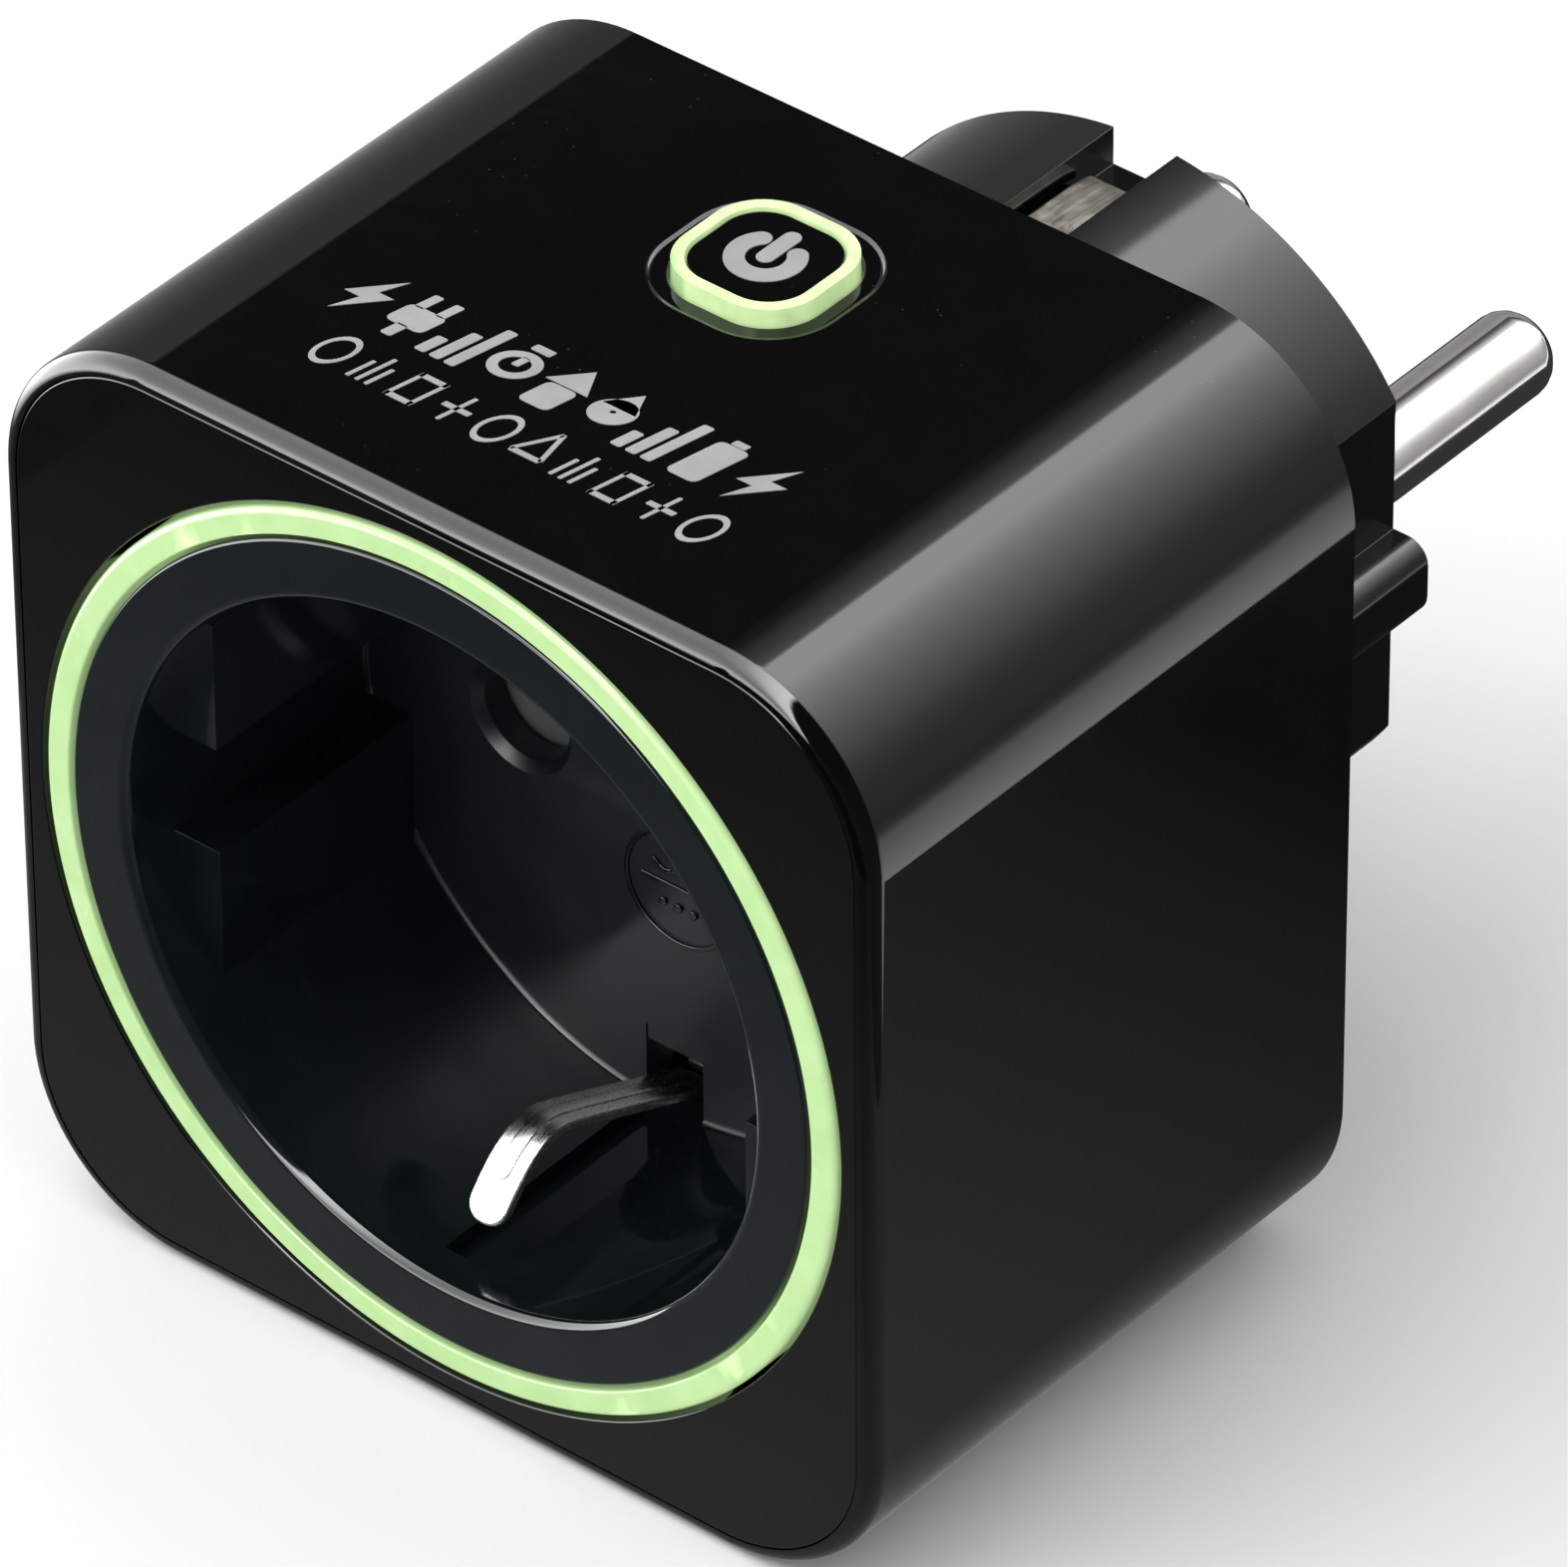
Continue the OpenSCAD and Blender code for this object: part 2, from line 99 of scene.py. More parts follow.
def thicken(bm, low, high):
    """Turns a flat outline at z = 0 into a closed solid from z = low to z = high."""
    bmesh.ops.translate(bm, vec=(0, 0, low), verts=bm.verts)
    made = bmesh.ops.extrude_face_region(bm, geom=bm.faces[:], use_keep_orig=True)["geom"]
    moved = [part for part in made if isinstance(part, bmesh.types.BMVert)]
    bmesh.ops.translate(bm, vec=(0, 0, high - low), verts=moved)
    bmesh.ops.remove_doubles(bm, verts=bm.verts, dist=1e-7)
    bmesh.ops.recalc_face_normals(bm, faces=bm.faces)
    return bm


def facing_front(bm):
    """Stands a solid up: its X-Y outline becomes the view from the front, and +Z becomes +Y."""
    turn = Matrix(((1, 0, 0), (0, 0, 1), (0, 1, 0)))
    bmesh.ops.transform(bm, matrix=turn.to_4x4(), verts=bm.verts)
    bmesh.ops.recalc_face_normals(bm, faces=bm.faces)
    return bm


def front_slab(width, height, radius, y0, y1, segments=16):
    return facing_front(thicken(plate(width, height, radius, segments), y0, y1))


def moved_by(bm, x=0, y=0, z=0):
    bmesh.ops.translate(bm, vec=(x, y, z), verts=bm.verts)
    return bm


def leaned(bm, angle):
    """Turns a flat shape in its own plane."""
    bmesh.ops.rotate(bm, cent=(0, 0, 0), matrix=Matrix.Rotation(angle, 3, "Z"), verts=bm.verts)
    return bm


def box_between(x, y, z):
    """A box from low and high limits of x, y and z."""
    bm = bmesh.new()
    bmesh.ops.create_cube(bm, size=1)
    bmesh.ops.scale(bm, vec=(x[1] - x[0], y[1] - y[0], z[1] - z[0]), verts=bm.verts)
    return moved_by(bm, sum(x) / 2, sum(y) / 2, sum(z) / 2)


def bar(y0, y1, radius, x=0, z=0, steps=64):
    """A round bar along Y."""
    bm = bmesh.new()
    bmesh.ops.create_circle(bm, cap_ends=True, radius=radius, segments=steps)
    return moved_by(facing_front(thicken(bm, y0, y1)), x, 0, z)


# %% Turned parts
def turned(outline, rounds=None, steps=192, x=0, z=0):
    """Spins a [radius, y] outline about the Y axis. rounds maps a corner's number to its rounding."""
    bm = bmesh.new()
    corners = [bm.verts.new((r, y, 0)) for r, y in outline]
    bm.faces.new(corners)
    for number, radius in (rounds or {}).items():
        rounded(bm, [corners[number]], radius, 6)
    loop = [edge for edge in bm.edges if max(vert.co.x for vert in edge.verts) > 1e-7]
    bmesh.ops.delete(bm, geom=bm.faces[:], context="FACES_ONLY")
    bmesh.ops.delete(bm, geom=[edge for edge in bm.edges if edge not in loop], context="EDGES")
    bmesh.ops.spin(bm, geom=bm.edges[:], cent=(0, 0, 0), axis=(0, 1, 0), angle=TURN, steps=steps,
                   use_merge=True)
    bmesh.ops.remove_doubles(bm, verts=bm.verts, dist=1e-7)
    bmesh.ops.recalc_face_normals(bm, faces=bm.faces)
    return moved_by(bm, x, 0, z)


# %% [markdown]
# Sheet-metal strips start flat, as the blank does in the press. The blank is cut into short lengths, and
# then every point is carried to its place along a smoothed path, so the metal keeps its width and its
# thickness.

# %% Bent strips
def smoothed(path, rounds=3):
    """Corner cutting: each pass replaces a corner by two points, and the ends stay where they are."""
    points = [Vector(point) for point in path]
    for _ in range(rounds):
        cut = [points[0]]
        for a, b in zip(points, points[1:]):
            cut += [a.lerp(b, 0.25), a.lerp(b, 0.75)]
        points = cut + [points[-1]]
    return points


def bent_strip(path, width, thickness, tip_round=0.0, length_steps=90):
    """A strip of sheet metal along a [y, z] path, its middle at x = 0."""
    line = smoothed(path)
    lengths = [0.0]
    for a, b in zip(line, line[1:]):
        lengths.append(lengths[-1] + (b - a).length)
    bm = plate(lengths[-1], width, 0)
    moved_by(bm, lengths[-1] / 2)
    if tip_round:
        tips = [vert for vert in bm.verts if vert.co.x < 1e-6]
        rounded(bm, tips, tip_round, 8)
    for step in range(1, length_steps):
        sliced(bm, (lengths[-1] * step / length_steps, 0, 0), (1, 0, 0), keep_both=True)
    thicken(bm, -thickness / 2, thickness / 2)
    rim = [edge for edge in bm.edges if edge.calc_face_angle(0) > math.radians(60)]
    rounded(bm, rim, thickness * 0.3, 3, "EDGES")
    for vert in bm.verts:
        along = min(max(vert.co.x, 0), lengths[-1])
        i = max(n for n in range(len(line) - 1) if lengths[n] <= along)
        direction = (line[i + 1] - line[i]).normalized()
        spot = line[i] + direction * (along - lengths[i])
        across = Vector((-direction.y, direction.x))
        vert.co = Vector((vert.co.y, spot.x + across.x * vert.co.z, spot.y + across.y * vert.co.z))
    bmesh.ops.recalc_face_normals(bm, faces=bm.faces)
    return bm


# %% [markdown]
# ## Cutting, softening and placing
# Slots and holes are cut with the exact boolean, as the mould's cores would form them. A moulded edge is
# never sharp, so every edge that turns more than a set angle gets a small bevel of a few segments.
# Weighted normals then keep the flats perfectly flat, which a glossy black surface needs, because it
# shows the slightest shading error.

# %% Booleans
def linked(name, bm):
    """A new object in the scene, made of bm."""
    mesh = bpy.data.meshes.new(name)
    bm.to_mesh(mesh)
    bm.free()
    holder = bpy.data.objects.new(name, mesh)
    bpy.context.scene.collection.objects.link(holder)
    return holder


def carved(bm, extra=(), cut=()):
    """The solid bm with the extra solids joined to it and the cut solids taken away."""
    host = linked("scratch", bm)
    tools = [(linked("scratch", solid), "UNION") for solid in extra]
    tools += [(linked("scratch", solid), "DIFFERENCE") for solid in cut]
    for tool, operation in tools:
        step = host.modifiers.new("carve", "BOOLEAN")
        step.operation = operation
        step.solver = "EXACT"
        step.object = tool
    bpy.context.view_layer.update()
    mesh = bpy.data.meshes.new_from_object(host.evaluated_get(bpy.context.evaluated_depsgraph_get()))
    result = bmesh.new()
    result.from_mesh(mesh)
    for holder in [host] + [tool for tool, _ in tools]:
        bpy.data.objects.remove(holder)
    bmesh.ops.remove_doubles(result, verts=result.verts, dist=2e-6)
    bmesh.ops.dissolve_limit(result, angle_limit=math.radians(0.4), verts=result.verts, edges=result.edges)
    return result


def soften(bm, width, angle=35, segments=3, where=None):
    """Bevels the edges that turn more than angle degrees, and only those that where accepts."""
    edges = [edge for edge in bm.edges
             if edge.is_manifold and edge.calc_face_angle(0) > math.radians(angle)]
    if where:
        edges = [edge for edge in edges if all(where(vert.co) for vert in edge.verts)]
    rounded(bm, edges, width, segments, "EDGES", clamp=True)
    return bm


def joined(*solids):
    """Several separate solids as one mesh."""
    whole = bmesh.new()
    for solid in solids:
        mesh = bpy.data.meshes.new("part")
        solid.to_mesh(mesh)
        solid.free()
        whole.from_mesh(mesh)
        bpy.data.meshes.remove(mesh)
    return whole


# %% Placing a finished piece
pieces = {}


def place(name, bm, body, slot, *replaced, smooth=40):
    piece = linked(name, bm)
    piece.data.shade_smooth()
    piece.data.set_sharp_from_angle(angle=math.radians(smooth))
    flats = piece.modifiers.new("flat_faces_stay_flat", "WEIGHTED_NORMAL")
    flats.keep_sharp = True
    flats.weight = 50
    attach(piece, body)
    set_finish(piece, slot)
    if replaced:
        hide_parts(*replaced)
    pieces[name] = piece
    print(name, "has", len(piece.data.polygons), "faces")


# %% [markdown]
# ## The housing
# The main shell is one deep square tube. It starts as a rounded slab, gets the broad rounded front edge
# as a bevel of several segments, and is then hollowed from both ends by insets. The two end faces are
# deleted and their loops bridged, which keeps the wall one clean band of quads right round the corners.

# %% Main shell
corner_r = 9.4 * MM
chamfer = 0.95 * MM
wall = 2 * MM
cover_t = 2 * MM
cover_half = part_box("front_cover")[1].x


def end_face(bm, y):
    faces = [face for face in bm.faces if abs(face.calc_center_median().y - y) < 1e-6]
    return max(faces, key=lambda face: face.calc_area())


def pushed(bm, face, vector):
    made = bmesh.ops.extrude_face_region(bm, geom=[face])["geom"]
    moved = [part for part in made if isinstance(part, bmesh.types.BMVert)]
    bmesh.ops.translate(bm, vec=vector, verts=moved)
    if face.is_valid:
        bmesh.ops.delete(bm, geom=[face], context="FACES_ONLY")
    return next(part for part in made if isinstance(part, bmesh.types.BMFace))


def inset(bm, face, thickness):
    bmesh.ops.inset_region(bm, faces=[face], thickness=thickness, use_even_offset=True, use_boundary=True)
    return face


def shell_tube():
    bm = front_slab(2 * half, 2 * half, corner_r, front_y, back_y, segments=24)
    rounded(bm, list(end_face(bm, front_y).edges), chamfer, 6, "EDGES")
    front = inset(bm, end_face(bm, front_y), 0.03 * MM)
    front = pushed(bm, front, (0, cover_t, 0))
    front = inset(bm, front, cover_half + 0.02 * MM - (half - wall))
    back = inset(bm, end_face(bm, back_y), wall)
    loops = list(front.edges) + list(back.edges)
    bmesh.ops.delete(bm, geom=[front, back], context="FACES_ONLY")
    bmesh.ops.bridge_loops(bm, edges=loops)
    bmesh.ops.recalc_face_normals(bm, faces=bm.faces)
    return bm


button_low, button_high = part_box("button_light_ring")
button_y = (button_low.y + button_high.y) / 2
ring_half = 4.05 * MM
button_r = 2.9 * MM
dish_d = 0.1 * MM


def button_slab(width, low, high, radius):
    """A soft square stood up round the button's middle."""
    return moved_by(thicken(plate(width, width, radius, 12), low, high), 0, button_y)


dish = button_slab(2 * ring_half + 2 * MM, half - dish_d, half + dish_d, button_r + MM)
bmesh.ops.scale(dish, vec=(1.06, 1.06, 1), space=Matrix.Translation((0, -button_y, 0)),
                verts=[vert for vert in dish.verts if vert.co.z > half])
hole = button_slab(2 * ring_half + 0.3 * MM, half - 2 * wall, half + MM, button_r + 0.15 * MM)
shell = carved(shell_tube(), cut=[dish, hole])
soften(shell, 0.08 * MM, angle=14,
       where=lambda co: co.z > half - 0.15 * MM and max(abs(co.x), abs(co.y - button_y)) < 6 * MM)
place("main_shell_moulding", shell, "meter", "shell_black", "main_shell", smooth=32)

# %% [markdown]
# The front cover is the flat plate that carries the ring. On the real meter a hairline separates it from
# the shell, so the plate keeps a clear gap all round, and its own edge has a very small radius that
# catches a thin light.

# %% Front cover and rear cover
ring_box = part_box("light_ring")
ring_out = ring_box[1].x
post_spots = [(20 * MM, 20 * MM), (-20 * MM, -20 * MM)]
post_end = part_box("front_cover")[1].y


def circle_slab(radius, y0, y1, flats=None):
    """A disc along Y. flats is the distance from the middle to the two flat sides it is trimmed to."""
    bm = bmesh.new()
    bmesh.ops.create_circle(bm, cap_ends=True, radius=radius, segments=192)
    for side in (-1, 1) if flats else ():
        sliced(bm, (side * flats, 0, 0), (side, 0, 0))
    return facing_front(thicken(bm, y0, y1))


cover = carved(front_slab(2 * cover_half, 2 * cover_half, corner_r - chamfer, front_y, front_y + cover_t, 24),
               cut=[circle_slab(ring_out + 0.25 * MM, front_y - MM, front_y + 3 * MM)])
soften(cover, 0.13 * MM)
posts = [carved(bar(front_y + cover_t, post_end, 3.1 * MM, x, z),
                cut=[bar(-38 * MM, post_end + MM, 1.35 * MM, x, z)])
         for x, z in post_spots]
place("front_cover_plate", joined(cover, *posts), "meter", "shell_black", "front_cover", smooth=32)

plug_r = 18.5 * MM
plug_flat = 15.65 * MM
rib_half = 17.85 * MM
rear_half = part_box("rear_cover")[1].x
cover_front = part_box("rear_cover")[0].y
plate_front = back_y - 2 * MM
hollow_r = 16.4 * MM
groove_y = back_y + 1.2 * MM
pin_x = 9.5 * MM


def pair(half_width, y0, y1, low, high):
    """A box that reaches from low to high above the middle, and its mirror image below."""
    return [box_between((-half_width, half_width), (y0, y1), z) for z in ((low, high), (-high, -low))]


def rear_cuts():
    """The inside of the plug with the floors of its grooves left standing, the grooves, slots and holes."""
    inner = carved(circle_slab(hollow_r, back_y - 0.1 * MM, -2.5 * MM, plug_flat - 2.1 * MM),
                   cut=pair(3.8 * MM, back_y, MM, 14.6 * MM, 20 * MM))
    cuts = [inner, circle_slab(hollow_r, plate_front - MM, back_y, plug_flat - 2.1 * MM)]
    cuts += pair(1.95 * MM, groove_y, MM, 16.2 * MM, 22 * MM)
    cuts += pair(1.7 * MM, plate_front - MM, groove_y + 0.5 * MM, 16.6 * MM, 17.4 * MM)
    cuts += pair(1.7 * MM, plate_front - MM, back_y - 0.1 * MM, 15.4 * MM, 17 * MM)
    cuts += [bar(-4 * MM, MM, 2.9 * MM, side * pin_x) for side in (-1, 1)]
    for x, z in post_spots:
        cuts.append(bar(cover_front - MM, back_y, 1.5 * MM, x, z))
        cuts.append(bar(back_y - 1.5 * MM, back_y + MM, 2.9 * MM, x, z))
    return cuts


plug_body = circle_slab(plug_r, back_y - 0.5 * MM, 0, plug_flat)
ribs = front_slab(2 * rib_half, 4.4 * MM, 1.3 * MM, back_y - 0.5 * MM, 0, 6)
sleeves = [bar(cover_front, plate_front + 0.5 * MM, 3.1 * MM, x, z) for x, z in post_spots]
rear = carved(front_slab(2 * rear_half, 2 * rear_half, corner_r - wall - 0.1 * MM, plate_front, back_y, 24),
              extra=[plug_body, ribs] + sleeves, cut=rear_cuts())
soften(rear, 0.18 * MM, angle=28)
place("rear_cover_and_plug", rear, "meter", "plug_black", "rear_cover", smooth=32)

# %% [markdown]
# ## The socket
# The insert is turned first: collar, recess wall and floor in one outline, with a rounded lip where a
# plug enters. The two pairs of side guides are slices of a disc, cut by planes as a mould maker would
# mill them. The pockets for the earth clips and the pin holes come last, so their edges are softened
# together with everything else.

# %% Socket insert
recess_r = 19.5 * MM
collar_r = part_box("socket_insert")[1].x
insert_out = 20.9 * MM
floor_y = front_y + 17.5 * MM
floor_back = floor_y + 2 * MM
guide_x = 16.4 * MM
notch = 3.1 * MM


def side_guide(sx, sz):
    bm = bmesh.new()
    bmesh.ops.create_circle(bm, cap_ends=True, radius=recess_r + 0.7 * MM, segments=192)
    sliced(bm, (sx * guide_x, 0, 0), (-sx, 0, 0))
    sliced(bm, (0, sz * notch, 0), (0, -sz, 0))
    return facing_front(thicken(bm, front_y + 3.2 * MM, floor_y + 0.5 * MM))


def pin_hole(side):
    sink = [(0, floor_y - 0.5 * MM), (3.7 * MM, floor_y - 0.5 * MM), (2.7 * MM, floor_y + 0.5 * MM),
            (2.7 * MM, floor_back + MM), (0, floor_back + MM)]
    return turned(sink, steps=64, x=side * pin_x)


def socket_body():
    """The turned insert with its guides, the bumps over the clip pockets, the pockets and the pin holes."""
    cover_back = front_y + cover_t
    outline = [(0, floor_y), (recess_r, floor_y), (recess_r, front_y), (collar_r, front_y),
               (collar_r, cover_back), (insert_out, cover_back), (insert_out, floor_back), (0, floor_back)]
    body = turned(outline, rounds={2: 0.55 * MM, 3: 0.2 * MM, 1: 0.35 * MM})
    extra = [side_guide(sx, sz) for sx in (-1, 1) for sz in (-1, 1)]
    extra += pair(2.9 * MM, cover_back, floor_back, recess_r + 0.6 * MM, 21.4 * MM)
    cut = [pin_hole(-1), pin_hole(1)]
    cut += pair(1.8 * MM, front_y + 2.3 * MM, floor_y + 0.1 * MM, 15 * MM, 20.3 * MM)
    cut += pair(1.8 * MM, floor_y - 0.5 * MM, floor_back + MM, 15.9 * MM, 20.3 * MM)
    return soften(carved(body, extra=extra, cut=cut), 0.14 * MM, angle=30)


# %% [markdown]
# The round mark on the recess floor is raised by a tenth of a millimetre on the real moulding. Here it is
# a ring with a dividing bar, a mains wave above it and dots below: generic signs that say alternating
# current.

# %% Floor mark, pivot and board posts
RISE = 0.16 * MM
ROOT = 0.05 * MM


def raised_bar(x, z, width, height, tilt=0.0):
    bm = leaned(thicken(plate(width, height, min(width, height) * 0.45, 3), 0, RISE + ROOT), tilt)
    return moved_by(soften(facing_front(bm), 0.05 * MM, segments=2), x, floor_y - RISE, z)


def floor_mark(x, z, radius):
    inside, outside = radius - 0.14 * MM, radius + 0.14 * MM
    crest = floor_y - RISE
    ring = [(inside, floor_y + ROOT), (inside, crest), (outside, crest), (outside, floor_y + ROOT)]
    parts = [turned(ring, rounds={1: 0.06 * MM, 2: 0.06 * MM}, steps=96, x=x, z=z)]
    parts.append(raised_bar(x, z + 0.1 * MM, 4.6 * MM, 0.26 * MM))
    for k in range(8):
        phase = (k - 3.5) / 8
        slope = math.cos(phase * TURN) * 0.9
        parts.append(raised_bar(x + phase * 3 * MM, z + (1.3 + 0.42 * math.sin(phase * TURN)) * MM,
                                0.62 * MM, 0.26 * MM, math.atan(slope)))
    parts += [raised_bar(x + k * 0.95 * MM, z - 1.1 * MM, 0.5 * MM, 0.5 * MM) for k in (-1, 0, 1)]
    return parts


pivot_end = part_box("shutter_retainer")[0].y
board_front, board_back = (corner.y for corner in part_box("main_board"))
insert_posts = [(11.5 * MM, -8.2 * MM), (-11.5 * MM, 8.2 * MM)]
back_posts = [carved(bar(floor_back, pivot_end, 1.5 * MM), cut=[bar(floor_back + 0.5 * MM, 0, 0.85 * MM)])]
back_posts += [carved(bar(floor_back, board_front, 2.2 * MM, x, z),
                      cut=[bar(front_y + 26 * MM, 0, 0.95 * MM, x, z)])
               for x, z in insert_posts]
insert_parts = [socket_body(), *back_posts, *floor_mark(0.4 * MM, -5.7 * MM, 3.25 * MM)]
place("socket_insert_moulding", joined(*insert_parts), "meter", "socket_black", "socket_insert", smooth=32)

# %% [markdown]
# The light ring is a clear light pipe. It lies almost flush with the cover, with a narrow groove round
# it, and its outer front edge is well rounded. A pale highlight is painted into its finish along its edges.

# %% Light ring
ring_in = 23.1 * MM
proud_y, ring_back = ring_box[0].y, ring_box[1].y
foot_in, foot_y = 21.9 * MM, front_y + 2.1 * MM
ring_outline = [(ring_in, proud_y), (ring_out, proud_y), (ring_out, ring_back), (foot_in, ring_back),
                (foot_in, foot_y), (ring_in, foot_y)]
place("socket_light_ring", turned(ring_outline, rounds={0: 0.12 * MM, 1: 0.4 * MM, 2: 0.2 * MM}, steps=256),
      "meter", "ring_green", "light_ring")

# %% [markdown]
# ## Metal in the socket and on the plug
# Each earth clip is one springy strip with a round, slightly coined tip. The same strip carries on behind
# the floor as a rail, out through the back of the housing and along the plug's groove. The pins are
# turned, with a thick shank in the end wall and a round tip.

# %% Earth clips, rails and pins
clip_path = [(3.1, 17.6), (4.4, 15.9), (5.9, 14.55), (7.6, 14.05), (9.2, 14.55), (14.5, 16.75), (19.2, 18.7)]
rail_path = [(20.3, 19), (21, 19), (26.5, 17), (37, 17), (50.2, 17), (51.5, 16.7)]


def from_front(path, side):
    return [(front_y + depth * MM, side * z * MM) for depth, z in path]


for name, side in (("top", 1), ("bottom", -1)):
    clip = bent_strip(from_front(clip_path, side), 2.4 * MM, 0.6 * MM, tip_round=1.1 * MM)
    rib_path = [(depth, z - 0.22) for depth, z in clip_path[1:]]
    rib = bent_strip(from_front(rib_path, side), 0.9 * MM, 0.4 * MM, tip_round=0.44 * MM)
    clip_name = "earth_clip_" + name
    place(clip_name + "_strip", joined(clip, rib), "clip_" + name, "clip_nickel", clip_name)
    rail = bent_strip(from_front(rail_path, side), 3.2 * MM, 0.6 * MM)
    place("earth_rail_" + name + "_strip", rail, "meter", "strip_bronze", "earth_rail_" + name)

pin_r = 2.4 * MM
pin_low, pin_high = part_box("line_pin")
shank_r, shank_y = 2.85 * MM, -2.55 * MM
head_r, head_y = 3.3 * MM, -4.6 * MM
tail_r = 1.3 * MM
pin_outline = [(0, pin_high.y), (pin_r, pin_high.y), (pin_r, 0), (shank_r, 0), (shank_r, shank_y),
               (head_r, shank_y), (head_r, head_y), (tail_r, head_y), (tail_r, pin_low.y), (0, pin_low.y)]
pin_rounds = {1: 1.6 * MM, 3: 0.15 * MM, 5: 0.3 * MM, 6: 0.3 * MM, 8: 0.3 * MM}
for name, side in (("line", 1), ("neutral", -1)):
    pin = turned(pin_outline, rounds=pin_rounds, steps=96, x=side * pin_x)
    place(name + "_pin_turned", pin, "meter", "pin_nickel", name + "_pin")

# %% [markdown]
# ## The button
# The button's light ring is a soft square that stands up out of a shallow dish. The cap inside it is a
# separate moulding that travels with a finger, so it rides on its own body, and so does the mark that is
# let into it.

# %% Button ring and cap
ring_top = button_high.z
wall_in = half - wall
cap_w = 6.6 * MM
cap_r = 2.2 * MM
flange = 0.9 * MM
ring_foot = button_slab(2 * (ring_half + flange), button_low.z, wall_in - 0.1 * MM, button_r + flange)
collar = carved(button_slab(2 * ring_half, button_low.z, ring_top, button_r), extra=[ring_foot],
                cut=[button_slab(cap_w + 0.24 * MM, button_low.z - MM, ring_top + MM, cap_r + 0.12 * MM)])
soften(collar, 0.2 * MM, segments=4)
place("button_light_ring_moulding", collar, "meter", "ring_green", "button_light_ring")

cap_low, cap_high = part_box("button_cap")
mark_thick = 0.05 * MM
hollow = carved(button_slab(cap_w - 1.6 * MM, cap_low.z - MM, cap_high.z - MM, cap_r - 0.8 * MM),
                cut=[button_slab(3 * MM, cap_low.z, cap_high.z, 1.45 * MM)])
cap_foot = button_slab(cap_w + 2 * flange, cap_low.z, cap_low.z + 0.6 * MM, cap_r + flange)
cap = carved(button_slab(cap_w, cap_low.z, cap_high.z - mark_thick, cap_r), extra=[cap_foot], cut=[hollow])
soften(cap, 0.16 * MM, segments=4)
place("button_cap_moulding", cap, "button", "shell_black", "button_cap")

# %% Power mark on the cap
def power_mark():
    """An open ring with round ends and a bar in its gap."""
    ring_r, ring_w, gap, bar_l, bar_w = 1.52 * MM, 1.05 * MM, math.radians(47), 1.95 * MM, 0.95 * MM
    arc = bmesh.new()
    ends = [arc.verts.new((math.sin(gap) * r, math.cos(gap) * r, 0))
            for r in (ring_r - ring_w / 2, ring_r + ring_w / 2)]
    edge = arc.edges.new(ends)
    bmesh.ops.spin(arc, geom=[edge], cent=(0, 0, 0), axis=(0, 0, -1), angle=TURN - 2 * gap, steps=48)
    bmesh.ops.dissolve_faces(arc, faces=arc.faces[:])
    flats = [arc, moved_by(plate(bar_w, bar_l + bar_w, bar_w * 0.499, 12), 0, bar_l / 2)]
    for side in (-1, 1):
        dot = bmesh.new()
        bmesh.ops.create_circle(dot, cap_ends=True, radius=ring_w / 2, segments=48)
        flats.append(moved_by(dot, side * math.sin(gap) * ring_r, math.cos(gap) * ring_r))
    solids = [moved_by(thicken(flat, cap_high.z - 3 * mark_thick, cap_high.z), 0, button_y) for flat in flats]
    return carved(solids[0], extra=solids[1:])


place("button_mark_print", soften(power_mark(), 0.02 * MM, segments=2), "button", "mark_grey", "button_icon")

# %% [markdown]
# ## Screws
# Two long screws close the housing from behind, and shorter ones hold the shutter and the main board. A
# head is a turned button with a small dome, and its cross is two boxes cut in at once.

# %% Screws
def screw(x, z, head_y, head_r, head_h, shank_r, end_y, slot_w):
    top_y = head_y + head_h
    outline = [(0, end_y), (shank_r * 0.6, end_y), (shank_r, end_y + MM), (shank_r, head_y), (head_r, head_y),
               (head_r, head_y + head_h * 0.8), (head_r * 0.6, top_y), (0, top_y)]
    body = turned(outline, rounds={5: 0.25 * MM}, steps=64, x=x, z=z)
    deep = (head_y + head_h * 0.45, top_y + MM)
    long_side, short_side = head_r * 0.62, slot_w / 2
    cross = [box_between((x - a, x + a), deep, (z - b, z + b))
             for a, b in ((long_side, short_side), (short_side, long_side))]
    return soften(carved(body, cut=cross), 0.04 * MM, segments=2)


def screws(node_name, spots, *sizes):
    made = [screw(x, z, *sizes) for x, z in spots]
    place(node_name + "_turned", joined(*made), "meter", "screw_steel", node_name)


housing_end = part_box("housing_screws")[0].y
retainer_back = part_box("shutter_retainer")[1].y
screws("housing_screws", post_spots, back_y - 1.5 * MM, 2.6 * MM, 1.35 * MM, 1.3 * MM, housing_end, 0.6 * MM)
screws("board_screws", insert_posts, board_back, 1.9 * MM, 1.2 * MM, 0.9 * MM, front_y + 27 * MM, 0.45 * MM)
screws("retainer_screw", [(0, 0)], retainer_back, 1.8 * MM, 0.9 * MM, 0.8 * MM, floor_back + 0.7 * MM,
       0.4 * MM)

# %% [markdown]
# ## The print on top
# The top face is pad-printed in two rows. The upper row is bold and leaning, so it gets bold leaning
# signs for what such a meter deals with: current, load, time, mains, home. The lower row is thin, so it
# gets thin outlines of plain figures. All of them are a few hundredths of a millimetre thick, as dry ink
# is.

# %% Printed signs
INK = 0.035 * MM
SLANT = 0.2


def ink(points):
    """A flat closed outline in X-Y."""
    bm = bmesh.new()
    bm.faces.new([bm.verts.new((x * MM, y * MM, 0)) for x, y in points])
    return bm


def ink_bar(x, y, width, height):
    return moved_by(plate(width * MM, height * MM, min(width, height) * 0.2 * MM, 3), x * MM, y * MM)


